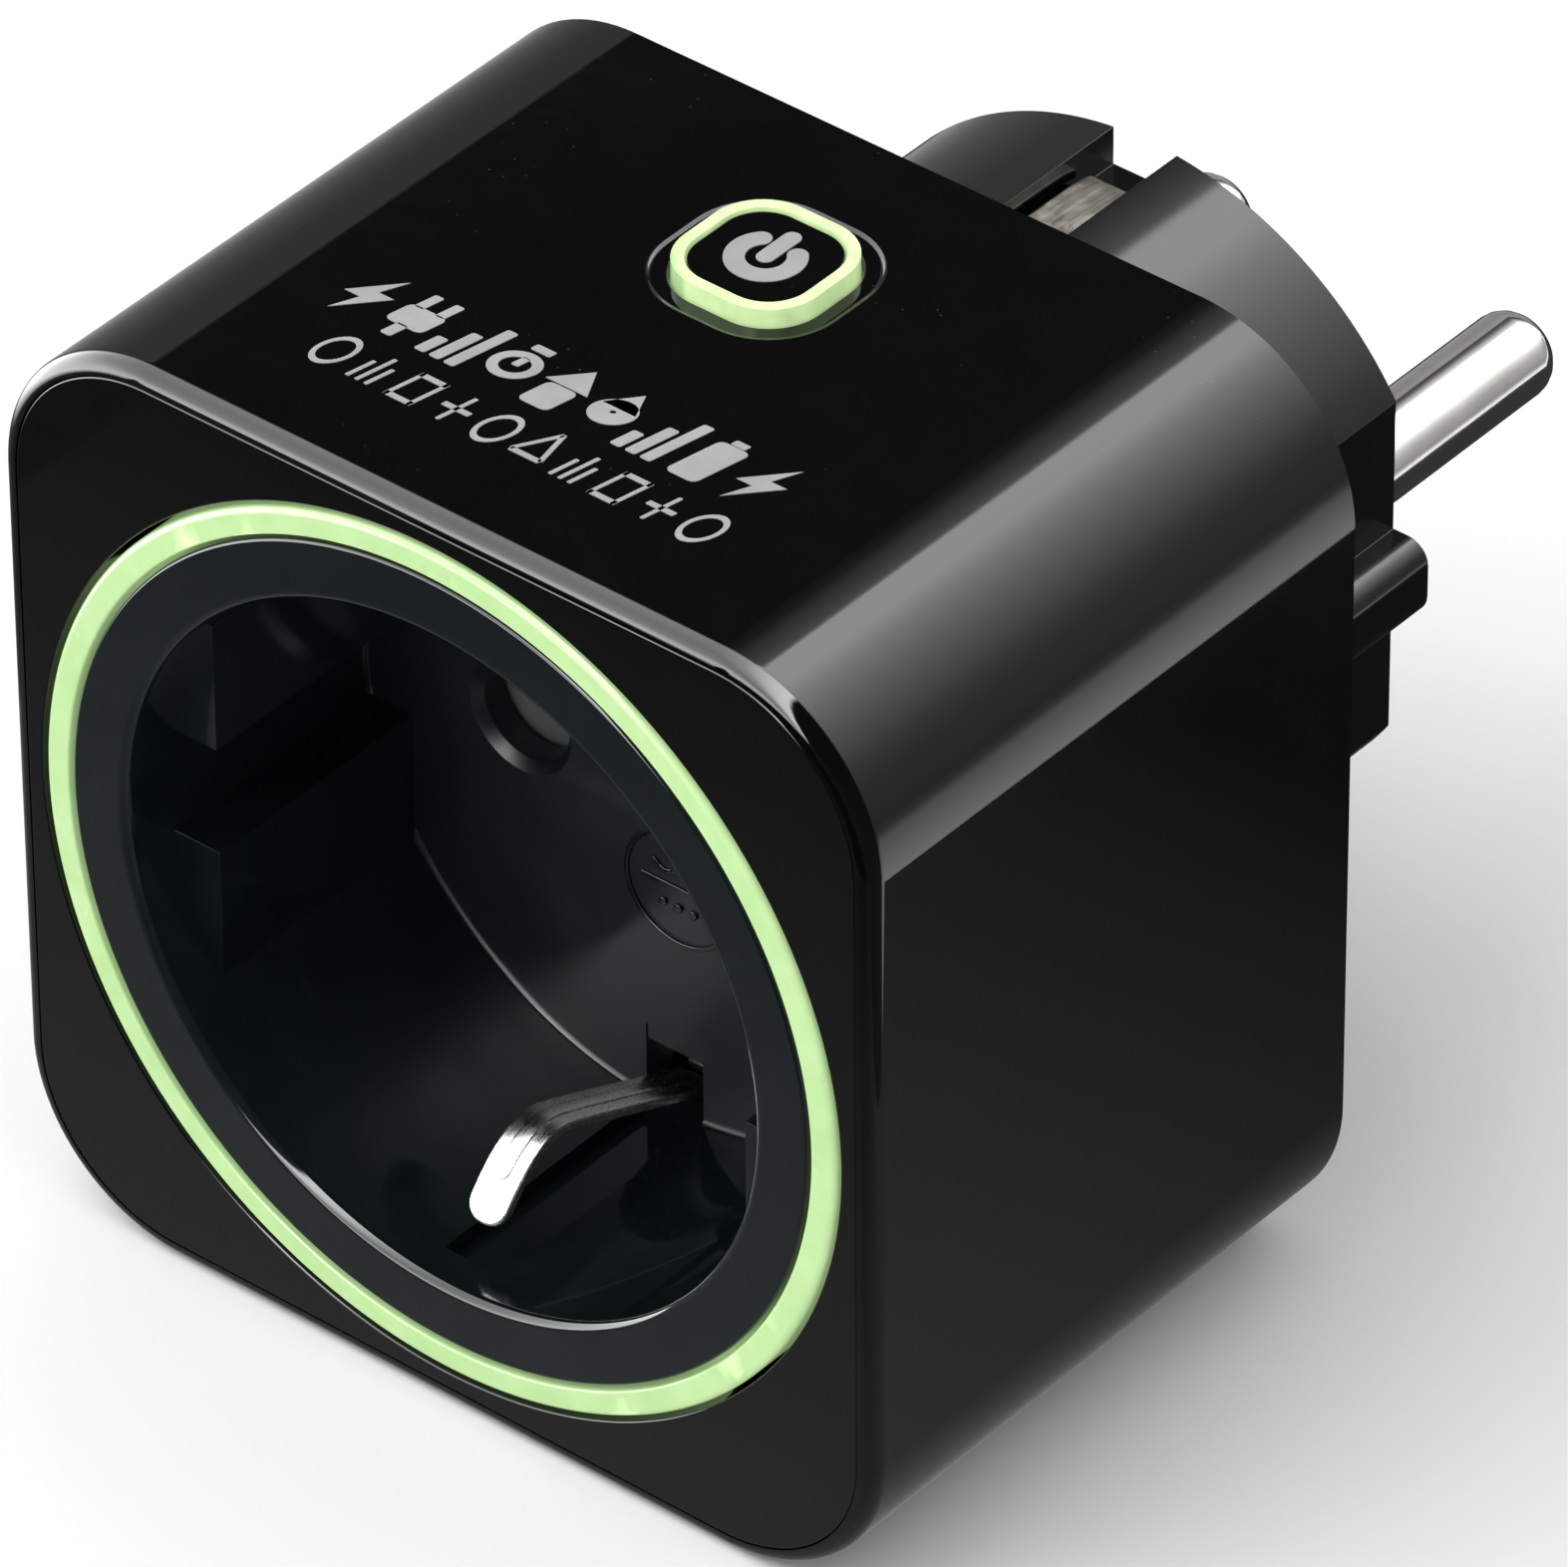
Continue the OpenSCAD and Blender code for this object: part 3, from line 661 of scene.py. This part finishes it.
def ink_ring(radius, width):
    """A flat ring, spun from one edge."""
    bm = bmesh.new()
    ends = [bm.verts.new(((radius + side * width / 2) * MM, 0, 0)) for side in (-1, 1)]
    edge = bm.edges.new(ends)
    bmesh.ops.spin(bm, geom=[edge], cent=(0, 0, 0), axis=(0, 0, 1), angle=TURN, steps=48, use_merge=True)
    return bm


def sign_bolt():
    return [ink([(0.5, 1.95), (-1.05, -0.4), (-0.15, -0.4), (-0.5, -1.95), (1.05, 0.4), (0.15, 0.4)])]


def sign_bars():
    return [ink_bar(-0.85, -1.2, 0.6, 1.5), ink_bar(0, -0.6, 0.6, 2.7), ink_bar(0.85, 0, 0.6, 3.9)]


def sign_plug():
    prongs = [ink_bar(side * 0.6, 1.3, 0.5, 1.3) for side in (-1, 1)]
    return [ink_bar(0, -0.1, 2.1, 1.7), ink_bar(0, -1.4, 0.6, 1.1), *prongs]


def sign_clock():
    return [ink_ring(0.95, 0.5), ink_bar(0, 1.7, 1.1, 0.5), ink_bar(0, 0.35, 0.4, 0.8)]


def sign_battery():
    return [ink_bar(0, -0.25, 1.7, 3.4), ink_bar(0, 1.72, 0.8, 0.42)]


def sign_house():
    return [ink([(-1.2, 0.15), (0, 1.95), (1.2, 0.15)]), ink_bar(0, -0.95, 1.7, 2)]


def sign_drop():
    return [ink_ring(0.62, 0.95), ink([(-0.95, 0.35), (0, 1.95), (0.95, 0.35)])]


def thin_circle():
    return [ink_ring(0.85, 0.24)]


def thin_cross():
    return [ink_bar(0, 0, 1.7, 0.24), ink_bar(0, 0, 0.24, 1.7)]


def thin_square():
    upright = [ink_bar(side * 0.75, 0, 0.24, 1.74) for side in (-1, 1)]
    return upright + [ink_bar(0, side * 0.75, 1.7, 0.24) for side in (-1, 1)]


def thin_triangle():
    return [leaned(ink_bar(0, -0.55, 1.9, 0.24), k * TURN / 3) for k in range(3)]


def thin_ticks():
    return [ink_bar(-0.6, -0.25, 0.24, 1.2), ink_bar(0, 0, 0.24, 1.7), ink_bar(0.6, -0.25, 0.24, 1.2)]


def printed_row(signs, first, last, depth, wide=1.0, tall=1.0):
    """Signs at equal steps from first to last, all leaning the same way."""
    parts = []
    for k, sign in enumerate(signs):
        for flat in sign():
            bmesh.ops.scale(flat, vec=(wide, tall, 1), verts=flat.verts)
            for vert in flat.verts:
                vert.co.x += SLANT * vert.co.y
            x = first + (last - first) * k / (len(signs) - 1)
            parts.append(moved_by(flat, x * MM, front_y + depth * MM))
    return parts


def printed():
    bold = [sign_bolt, sign_plug, sign_bars, sign_clock, sign_house, sign_drop, sign_bars, sign_battery,
            sign_bolt]
    thin = [thin_circle, thin_ticks, thin_square, thin_cross, thin_circle, thin_triangle, thin_ticks,
            thin_square, thin_cross, thin_circle]
    flats = printed_row(bold, -13.2, 10.8, 11.5, 1.06, 1.0) + printed_row(thin, -11.5, 10.9, 7.1, 0.95, 1.4)
    return [thicken(flat, half - 0.002 * MM, half + INK) for flat in flats]


place("printed_signs", joined(*printed()), "meter", "mark_grey")

# %% [markdown]
# ## Finishes
# Effects that many materials share are node groups. Each gives out only a mask or a value, and the
# material decides what it colours. All of them read Object coordinates in metres, so a scale of 1000 is
# about one cell a millimetre.

# %% Helpers for nodes
def node(tree, kind, **settings):
    made = tree.nodes.new("ShaderNode" + kind)
    for key, value in settings.items():
        if key in made.inputs:
            made.inputs[key].default_value = value
        else:
            setattr(made, key, value)
    return made


def wire(tree, source, target):
    """Gives an input a plain number or another node's output."""
    if isinstance(source, (int, float)):
        target.default_value = source
    else:
        tree.links.new(source, target)


def object_place(tree):
    return node(tree, "TexCoord").outputs["Object"]


def along(tree, vector, axis):
    split = node(tree, "SeparateXYZ")
    wire(tree, vector, split.inputs[0])
    return split.outputs[axis]


def texture(tree, kind, scale, place_on=None, **settings):
    """A texture on Object coordinates, or on another vector."""
    made = node(tree, "Tex" + kind, **settings)
    wire(tree, place_on or object_place(tree), made.inputs["Vector"])
    wire(tree, scale, made.inputs["Scale"])
    return made


def spread(tree, value, low=0.0, high=1.0, start=0.0, end=1.0, **settings):
    """A value that goes from start to end turned into one that goes from low to high."""
    ramp = node(tree, "MapRange", **settings)
    limits = {"Value": value, "From Min": start, "From Max": end, "To Min": low, "To Max": high}
    for label, source in limits.items():
        wire(tree, source, ramp.inputs[label])
    return ramp.outputs["Result"]


def maths(tree, operation, first, second, clamp=False):
    step = node(tree, "Math", operation=operation, use_clamp=clamp)
    wire(tree, first, step.inputs[0])
    wire(tree, second, step.inputs[1])
    return step.outputs[0]


def summed(tree, first, second):
    return maths(tree, "ADD", first, second, clamp=True)


def grey_ramp(tree, value, stops):
    """Greys at set positions from 0 to 1, blended in between."""
    ramp = node(tree, "ValToRGB")
    elements = ramp.color_ramp.elements
    while len(elements) > 1:
        elements.remove(elements[-1])
    for k, (position, level) in enumerate(stops):
        element = elements[0] if k == 0 else elements.new(position)
        element.position = position
        element.color = (level, level, level, 1)
    wire(tree, value, ramp.inputs["Fac"])
    return ramp.outputs["Color"]


# %% Shared effect groups
def new_group(name, gives, **takes):
    """An empty group that takes named numbers and gives one."""
    group = bpy.data.node_groups.new(name, "ShaderNodeTree")
    for label, value in takes.items():
        socket = group.interface.new_socket(name=label, in_out="INPUT", socket_type="NodeSocketFloat")
        socket.default_value = value
    group.interface.new_socket(name=gives, in_out="OUTPUT", socket_type="NodeSocketFloat")
    start, end = group.nodes.new("NodeGroupInput"), group.nodes.new("NodeGroupOutput")
    return group, start.outputs, end.inputs[gives]


def grain_group():
    """Fine unevenness of a moulded or painted skin. Height feeds a Bump node."""
    group, given, result = new_group("moulded_grain", "Height", Scale=900.0)
    wire(group, texture(group, "Noise", given["Scale"], Detail=3.0).outputs["Fac"], result)
    return group


def smudge_group():
    """Soft patches left by handling, from 0 to 1, mostly 0."""
    group, given, result = new_group("handling_smudges", "Mask", Scale=90.0, Amount=1.0)
    cloud = texture(group, "Noise", given["Scale"], Detail=6.0, Roughness=0.62, Distortion=0.6)
    patches = spread(group, cloud.outputs["Fac"], start=0.5, end=0.75)
    wire(group, maths(group, "MULTIPLY", patches, given["Amount"]), result)
    return group


def dust_group():
    """Specks of dust, more of them on faces that look up."""
    group, given, result = new_group("dust_specks", "Mask", Scale=1500.0, Amount=0.5)
    specks = texture(group, "Voronoi", given["Scale"])
    clouds = texture(group, "Noise", 160.0, Detail=2.0)
    mask = spread(group, specks.outputs["Distance"], start=0.1, end=0.04)
    patches = spread(group, clouds.outputs["Fac"], start=0.55, end=0.7)
    upward = spread(group, along(group, node(group, "NewGeometry").outputs["Normal"], "Z"))
    for factor in (patches, upward, given["Amount"]):
        mask = maths(group, "MULTIPLY", mask, factor)
    wire(group, mask, result)
    return group


def edge_rub_and_highlight_group():
    """Convex edges, where handling polishes plastic and rubs plating, and where the light pipe gets a painted
    highlight.
    """
    group, given, result = new_group("edge_rub_and_highlight", "Mask", Spread=0.06)
    sharpest = maths(group, "ADD", given["Spread"], 0.5)
    edges = spread(group, node(group, "NewGeometry").outputs["Pointiness"], start=0.5, end=sharpest)
    broken = texture(group, "Noise", 700.0, Detail=4.0)
    wire(group, maths(group, "MULTIPLY", edges, broken.outputs["Fac"]), result)
    return group


def drawn_group():
    """Fine lines along Y, as drawing or polishing leaves them on metal."""
    group, given, result = new_group("drawn_lines", "Height", Fineness=6000.0)
    stretch = node(group, "Mapping", Scale=(1, 0.02, 1))
    wire(group, object_place(group), stretch.inputs["Vector"])
    lines = texture(group, "Noise", given["Fineness"], stretch.outputs["Vector"], Detail=2.0)
    wire(group, lines.outputs["Fac"], result)
    return group


GRAIN, SMUDGES, DUST, EDGES, DRAWN = grain_group(), smudge_group(), dust_group(), edge_rub_and_highlight_group(), drawn_group()
print("effect groups:", [group.name for group in bpy.data.node_groups])

# %% [markdown]
# One function lays out the nodes of a moulded plastic and one those of a metal. A finish is then a short
# list of numbers: its two tones, how glossy it is, how much it is smudged and how deep its grain goes.

# %% Plastic and metal
def use(tree, group, **values):
    """Places an effect group with its own values, and gives its one output."""
    made = node(tree, "Group", node_tree=group)
    for key, value in values.items():
        made.inputs[key].default_value = value
    return made.outputs[0]


def start_material(name):
    material = bpy.data.materials.new(name)
    material.use_nodes = True
    tree = material.node_tree
    return material, tree, tree.nodes["Principled BSDF"].inputs


def mixed(tree, share, first, second):
    """The first colour, going over to the second as the share goes from 0 to 1."""
    mix = node(tree, "Mix", data_type="RGBA")
    wire(tree, share, mix.inputs[0])
    for source, target in ((first, mix.inputs[6]), (second, mix.inputs[7])):
        if isinstance(source, tuple):
            target.default_value = (*source, 1)
        else:
            wire(tree, source, target)
    return mix.outputs[2]


def tone(tree, first, second, scale, detail=4.0):
    """Two close colours mixed by a cloudy noise."""
    cloud = texture(tree, "Noise", scale, Detail=detail).outputs["Fac"]
    return mixed(tree, spread(tree, cloud, start=0.35, end=0.65), first, second)


def bump(tree, inputs, height, strength, distance):
    made = node(tree, "Bump", Strength=strength, Distance=distance)
    wire(tree, height, made.inputs["Height"])
    wire(tree, made.outputs["Normal"], inputs["Normal"])


def plastic(name, first, second, rough, smudge=0.1, specular=0.5, grain=900.0, depth=0.004, dust=0.3):
    material, tree, inputs = start_material(name)
    marks, specks, rub = use(tree, SMUDGES, Amount=1.0), use(tree, DUST, Amount=dust), use(tree, EDGES)
    wire(tree, mixed(tree, specks, tone(tree, first, second, 260.0), (0.22, 0.21, 0.2)), inputs["Base Color"])
    value = summed(tree, spread(tree, marks, rough, rough + smudge), spread(tree, specks, 0.0, 0.4))
    wire(tree, summed(tree, value, spread(tree, rub, 0.0, 0.08)), inputs["Roughness"])
    bump(tree, inputs, use(tree, GRAIN, Scale=grain), 0.35, depth * MM)
    wire(tree, specular, inputs["Specular IOR Level"])
    return material


def socket_plastic():
    """Glossy collar and walls with an etched, satin floor: roughness changes at the floor's depth."""
    material = plastic("socket_black_gloss", (0.0035, 0.0065, 0.0075), (0.0055, 0.009, 0.01),
                       0.06, 0.06, 0.5, 600.0, 0.005, 0.1)
    tree = material.node_tree
    roughness = tree.nodes["Principled BSDF"].inputs["Roughness"]
    before = roughness.links[0].from_socket
    depth = along(tree, object_place(tree), "Y")
    etched = spread(tree, depth, 0.0, 0.3, floor_y - 0.25 * MM, floor_y - 0.1 * MM)
    wire(tree, summed(tree, before, etched), roughness)
    return material


def metal(name, first, second, rough, lines=0.5, stain=(0.3, 0.26, 0.2), stained=0.0):
    material, tree, inputs = start_material(name)
    drawn, rub = use(tree, DRAWN), use(tree, EDGES)
    marks = use(tree, SMUDGES, Scale=240.0, Amount=stained)
    base = mixed(tree, marks, tone(tree, first, second, 500.0), stain)
    bright = tuple(min(1.0, part * 1.15) for part in first)
    wire(tree, mixed(tree, rub, base, bright), inputs["Base Color"])
    value = summed(tree, spread(tree, drawn, rough * 0.7, rough * 1.4), spread(tree, marks, 0.0, 0.35))
    wire(tree, value, inputs["Roughness"])
    bump(tree, inputs, drawn, lines, 0.004 * MM)
    wire(tree, 1.0, inputs["Metallic"])
    return material


def light_pipe(name, first, second, strength):
    """A clear green moulding lit from behind: a glossy skin over a glow with faint streaks, and a painted
    highlight, paler and brighter, along its convex edges.
    """
    material, tree, inputs = start_material(name)
    # The convex-edge mask paints a pale highlight into the glowing colour along the ring's edges.
    glow_with_painted_edge_highlight = mixed(tree, use(tree, EDGES, Spread=0.12), tone(tree, first, second, 420.0, 5.0), (0.78, 1.0, 0.5))
    wire(tree, glow_with_painted_edge_highlight, inputs["Base Color"])
    wire(tree, glow_with_painted_edge_highlight, inputs["Emission Color"])
    wire(tree, strength, inputs["Emission Strength"])
    wire(tree, spread(tree, use(tree, SMUDGES), 0.18, 0.4), inputs["Roughness"])
    bump(tree, inputs, use(tree, GRAIN, Scale=1400.0), 0.3, 0.01 * MM)
    return material


# %% Circuit boards
def circuit_board(name, mask_colour, track_colour):
    """Solder mask over etched tracks: stepped cells read as copper pours, fine cells as pads."""
    material, tree, inputs = start_material(name)
    tracks = texture(tree, "Voronoi", 330.0, distance="MANHATTAN", feature="DISTANCE_TO_EDGE")
    pads = texture(tree, "Voronoi", 520.0, distance="CHEBYCHEV")
    line = spread(tree, tracks.outputs["Distance"], start=0.07, end=0.1)
    pad = spread(tree, pads.outputs["Distance"], start=0.16, end=0.13)
    mask = tone(tree, mask_colour, tuple(part * 0.8 for part in mask_colour), 900.0)
    tracked = mixed(tree, line, mask, track_colour)
    wire(tree, mixed(tree, pad, tracked, (0.75, 0.74, 0.7)), inputs["Base Color"])
    wire(tree, pad, inputs["Metallic"])
    wire(tree, spread(tree, pad, 0.42, 0.2), inputs["Roughness"])
    bump(tree, inputs, line, 0.4, 0.03 * MM)
    return material


# %% [markdown]
# Each slot of the record gets its finish here. The housing's black is nearly colourless and very smooth,
# the collar is the same plastic with a trace of blue-green, and the bright metals differ by how they are
# made: plated pins, a stamped clip, a dull bronze strip.

# %% The finishes by slot
finishes = {
    "shell_black": plastic("piano_black", (0.0006, 0.0006, 0.0008), (0.001, 0.001, 0.0013),
                           0.025, 0.03, 0.5, 320.0, 0.003, 0.25),
    "plug_black": plastic("plug_black_gloss", (0.002, 0.002, 0.0028), (0.003, 0.003, 0.0038),
                          0.09, 0.06, 0.5, 500.0, 0.006, 0.1),
    "socket_black": socket_plastic(),
    "ring_green": light_pipe("green_light_pipe", (0.34, 0.53, 0.23), (0.385, 0.56, 0.27), 0.42),
    "mark_grey": plastic("printed_light_grey", (0.3, 0.3, 0.305), (0.35, 0.35, 0.35),
                         0.5, 0.1, 0.2, 2500.0, 0.01, 0.0),
    "clip_nickel": metal("clip_bright_nickel", (0.82, 0.81, 0.78), (0.74, 0.73, 0.71), 0.26, stained=0.15),
    "pin_nickel": metal("pin_bright_nickel", (0.82, 0.81, 0.79), (0.74, 0.73, 0.71), 0.1, 0.4, stained=0.08),
    "strip_bronze": metal("strip_dull_bronze", (0.33, 0.31, 0.27), (0.22, 0.205, 0.18),
                          0.36, 0.7, stained=0.8),
    "screw_steel": metal("zinc_plated_screw", (0.55, 0.56, 0.55), (0.48, 0.49, 0.46), 0.28, 0.4, stained=0.2),
    "spring_steel": metal("drawn_spring_wire", (0.5, 0.5, 0.5), (0.4, 0.4, 0.4), 0.25),
    "contact_brass": metal("stamped_brass", (0.78, 0.57, 0.25), (0.68, 0.49, 0.21), 0.25, 0.6, stained=0.3),
    "shunt_alloy": metal("shunt_alloy_strip", (0.58, 0.5, 0.41), (0.5, 0.43, 0.35), 0.32, 0.6, stained=0.3),
    "shield_tin": metal("tin_plated_shield", (0.68, 0.68, 0.66), (0.6, 0.6, 0.58), 0.3, 0.3, stained=0.3),
    "antenna_gold": metal("gold_plated_track", (0.86, 0.66, 0.3), (0.8, 0.6, 0.26), 0.22),
    "board_green": circuit_board("main_board_mask", (0.01, 0.12, 0.045), (0.03, 0.2, 0.08)),
    "module_blue": circuit_board("module_board_mask", (0.008, 0.03, 0.12), (0.02, 0.07, 0.22)),
    "led_white": plastic("led_resin", (0.8, 0.76, 0.55), (0.86, 0.84, 0.7), 0.15, 0.05),
    "cable_grey": plastic("flat_cable_grey", (0.5, 0.5, 0.5), (0.58, 0.58, 0.58), 0.4),
    "inner_grey": plastic("shutter_grey", (0.1, 0.1, 0.105), (0.13, 0.13, 0.135), 0.4),
    "wire_brown": plastic("wire_brown_insulation", (0.17, 0.065, 0.02), (0.2, 0.08, 0.03), 0.35),
    "wire_blue": plastic("wire_blue_insulation", (0.02, 0.08, 0.42), (0.03, 0.1, 0.5), 0.35),
    "relay_blue": plastic("relay_case_blue", (0.012, 0.05, 0.24), (0.016, 0.06, 0.3), 0.3),
    "film_yellow": plastic("film_capacitor_yellow", (0.75, 0.52, 0.06), (0.8, 0.58, 0.09), 0.35),
    "can_sleeve": plastic("capacitor_sleeve", (0.02, 0.018, 0.05), (0.03, 0.026, 0.07), 0.22),
    "varistor_blue": plastic("varistor_resin", (0.02, 0.12, 0.42), (0.03, 0.15, 0.5), 0.3),
    "resistor_beige": plastic("resistor_ceramic", (0.5, 0.36, 0.22), (0.58, 0.43, 0.28), 0.5),
    "chip_black": plastic("chip_epoxy", (0.012, 0.012, 0.013), (0.02, 0.02, 0.02), 0.45),
    "plunger_white": plastic("plunger_white", (0.72, 0.72, 0.7), (0.78, 0.78, 0.76), 0.4),
}
slot_of = {row["node"]: row["material_slot"] for row in frame["record"]["subparts"]}
for name, cad_object in frame["nodes"].items():
    cad_object.data.materials.clear()
    cad_object.data.materials.append(finishes[slot_of[name]])
for piece in pieces.values():
    piece.data.materials.append(finishes[piece["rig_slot"]])
print("finishes:", len(finishes), "on", len(pieces), "pieces and", len(frame["nodes"]), "nodes")

# %% [markdown]
# ## Studio
# Black gloss is lit by what it mirrors. The floor is plain and pale and takes its light from a soft area
# lamp, while the mouldings mirror a studio of broad soft panels: one high on the right that fades
# downwards, one low on the left, and one in front for the rounded front edge and the clip. The panels are
# painted into the world by direction.

# %% Floor
def stage_sheet(name, half_width, half_depth, below, material):
    """A flat sheet just under the meter."""
    bm = bmesh.new()
    bmesh.ops.create_grid(bm, x_segments=1, y_segments=1, size=1)
    bmesh.ops.scale(bm, vec=(half_width, half_depth, 1), verts=bm.verts)
    sheet = linked(name, moved_by(bm, 0, 0, shell_low.z - below))
    sheet.data.materials.append(material)
    return sheet


paper, paper_tree, paper_inputs = start_material("pale_paper")
wire(paper_tree, tone(paper_tree, (0.86, 0.86, 0.87), (0.88, 0.88, 0.88), 12.0), paper_inputs["Base Color"])
wire(paper_tree, 0.9, paper_inputs["Roughness"])
wire(paper_tree, 0.1, paper_inputs["Specular IOR Level"])
stage_sheet("studio_floor", 3, 3, 0.02 * MM, paper).visible_glossy = False

# %% Dark table mat seen only in reflections
felt = bpy.data.materials.new("dark_felt_glow")
felt.use_nodes = True
felt_tree = felt.node_tree
felt_tree.nodes.clear()
mat_half = 66 * MM
felt_share = spread(felt_tree, along(felt_tree, object_place(felt_tree), "Y"),
                    start=front_y - mat_half, end=front_y + mat_half)
felt_glow = node(felt_tree, "Emission")
felt_levels = [(0.0, 0.03), (0.5, 0.33), (0.66, 0.23), (0.9, 0.1), (1.0, 0.04)]
wire(felt_tree, grey_ramp(felt_tree, felt_share, felt_levels), felt_glow.inputs["Color"])
wire(felt_tree, felt_glow.outputs["Emission"], node(felt_tree, "OutputMaterial").inputs["Surface"])
mat = stage_sheet("reflected_mat", mat_half, 300 * MM, 0.01 * MM, felt)
for way in ("camera", "diffuse", "transmission", "volume_scatter", "shadow"):
    setattr(mat, "visible_" + way, False)

# %% Soft panels in the world
BRIGHTEST = 14.0
EVEN_LIGHT = 0.88
world = bpy.data.worlds.new("studio")
bpy.context.scene.world = world
world.use_nodes = True
sky = world.node_tree
direction = node(sky, "TexCoord").outputs["Generated"]
around = maths(sky, "ARCTAN2", along(sky, direction, "X"), along(sky, direction, "Z"))
turn_share = spread(sky, around, start=-math.pi, end=math.pi)


def panel_ramp(stops):
    """Brightness by the angle about the Y axis: 0 is straight up, 90 to the right, -90 to the left."""
    return grey_ramp(sky, turn_share, [((angle + 180) / 360, level / BRIGHTEST) for angle, level in stops])


behind = panel_ramp([(-180, 0.3), (-125, 0.5), (-100, 0.32), (-70, 0.28), (-50, 0.36), (-46, 0.42),
                     (-44, 0.05), (-40, 0.06), (-32, 0.17), (-20, 0.7), (-13, 1.2), (-11.5, 5.2), (4.5, 5.4),
                     (17, 3.7), (29, 2.7), (41, 1.9), (53, 1.3), (65, 0.76), (77, 0.5), (90, 0.42),
                     (102, 0.32), (107, 0.5), (112, 1.2), (126, 1.6), (150, 1.7), (180, 0.3)])
before = panel_ramp([(-180, 0.15), (-140, 0.06), (-120, 0.2), (-105, 9.0), (-85, 8.0), (-60, 4.5), (-35, 3.6),
                     (-15, 6.0), (0, 11.0), (15, 14.0), (18, 0.06), (60, 0.06), (110, 0.1), (150, 0.12),
                     (180, 0.15)])
front_share = spread(sky, along(sky, direction, "Y"), start=0.46, end=0.3, interpolation_type="SMOOTHSTEP")
panels = mixed(sky, front_share, behind, before)
glossy_ray = node(sky, "LightPath").outputs["Is Glossy Ray"]
sky_light = mixed(sky, glossy_ray, (EVEN_LIGHT / BRIGHTEST,) * 3, panels)
wire(sky, sky_light, sky.nodes["Background"].inputs["Color"])
wire(sky, BRIGHTEST, sky.nodes["Background"].inputs["Strength"])

# %% Lamp and camera
middle = Vector((0, (front_y + back_y) / 2, 0))
soft_key = bpy.data.lights.new("soft_key", "AREA")
soft_key.shape = "DISK"
soft_key.size = 0.9
soft_key.energy = 6
lamp = bpy.data.objects.new("soft_key", soft_key)
lamp.location = (-0.35, -0.45, 0.8)
lamp.rotation_euler = (middle - lamp.location).to_track_quat("-Z", "Y").to_euler()
lamp.visible_glossy = False
bpy.context.scene.collection.objects.link(lamp)

azimuth, elevation, roll = (math.radians(angle) for angle in (40.19, 37.34, -0.686))
level_right = Vector((math.cos(azimuth), math.sin(azimuth), 0))
level_ahead = Vector((-math.sin(azimuth), math.cos(azimuth), 0))
ahead = level_ahead * math.cos(elevation) - Vector((0, 0, math.sin(elevation)))
level_up = level_right.cross(ahead)
right = level_right * math.cos(roll) + level_up * math.sin(roll)
up = level_up * math.cos(roll) - level_right * math.sin(roll)
subject = Vector((0, front_y + 18.2 * MM, 0))
station = subject - ahead * 743.2 * MM
aim = subject + right * 4.97 * MM + up * 0.1 * MM
ahead = (aim - station).normalized()
right = (right - ahead * right.dot(ahead)).normalized()
up = right.cross(ahead)
camera_data = bpy.data.cameras.new("camera")
camera_data.lens = 355
camera_data.sensor_width = 36
camera_data.clip_start = 0.01
camera = bpy.data.objects.new("camera", camera_data)
camera.matrix_world = Matrix((right, up, -ahead)).transposed().to_4x4()
camera.location = station
bpy.context.scene.collection.objects.link(camera)
bpy.context.scene.camera = camera
bpy.context.scene.view_settings.view_transform = "Standard"
print("camera stands", round((station - subject).length, 3), "m away")
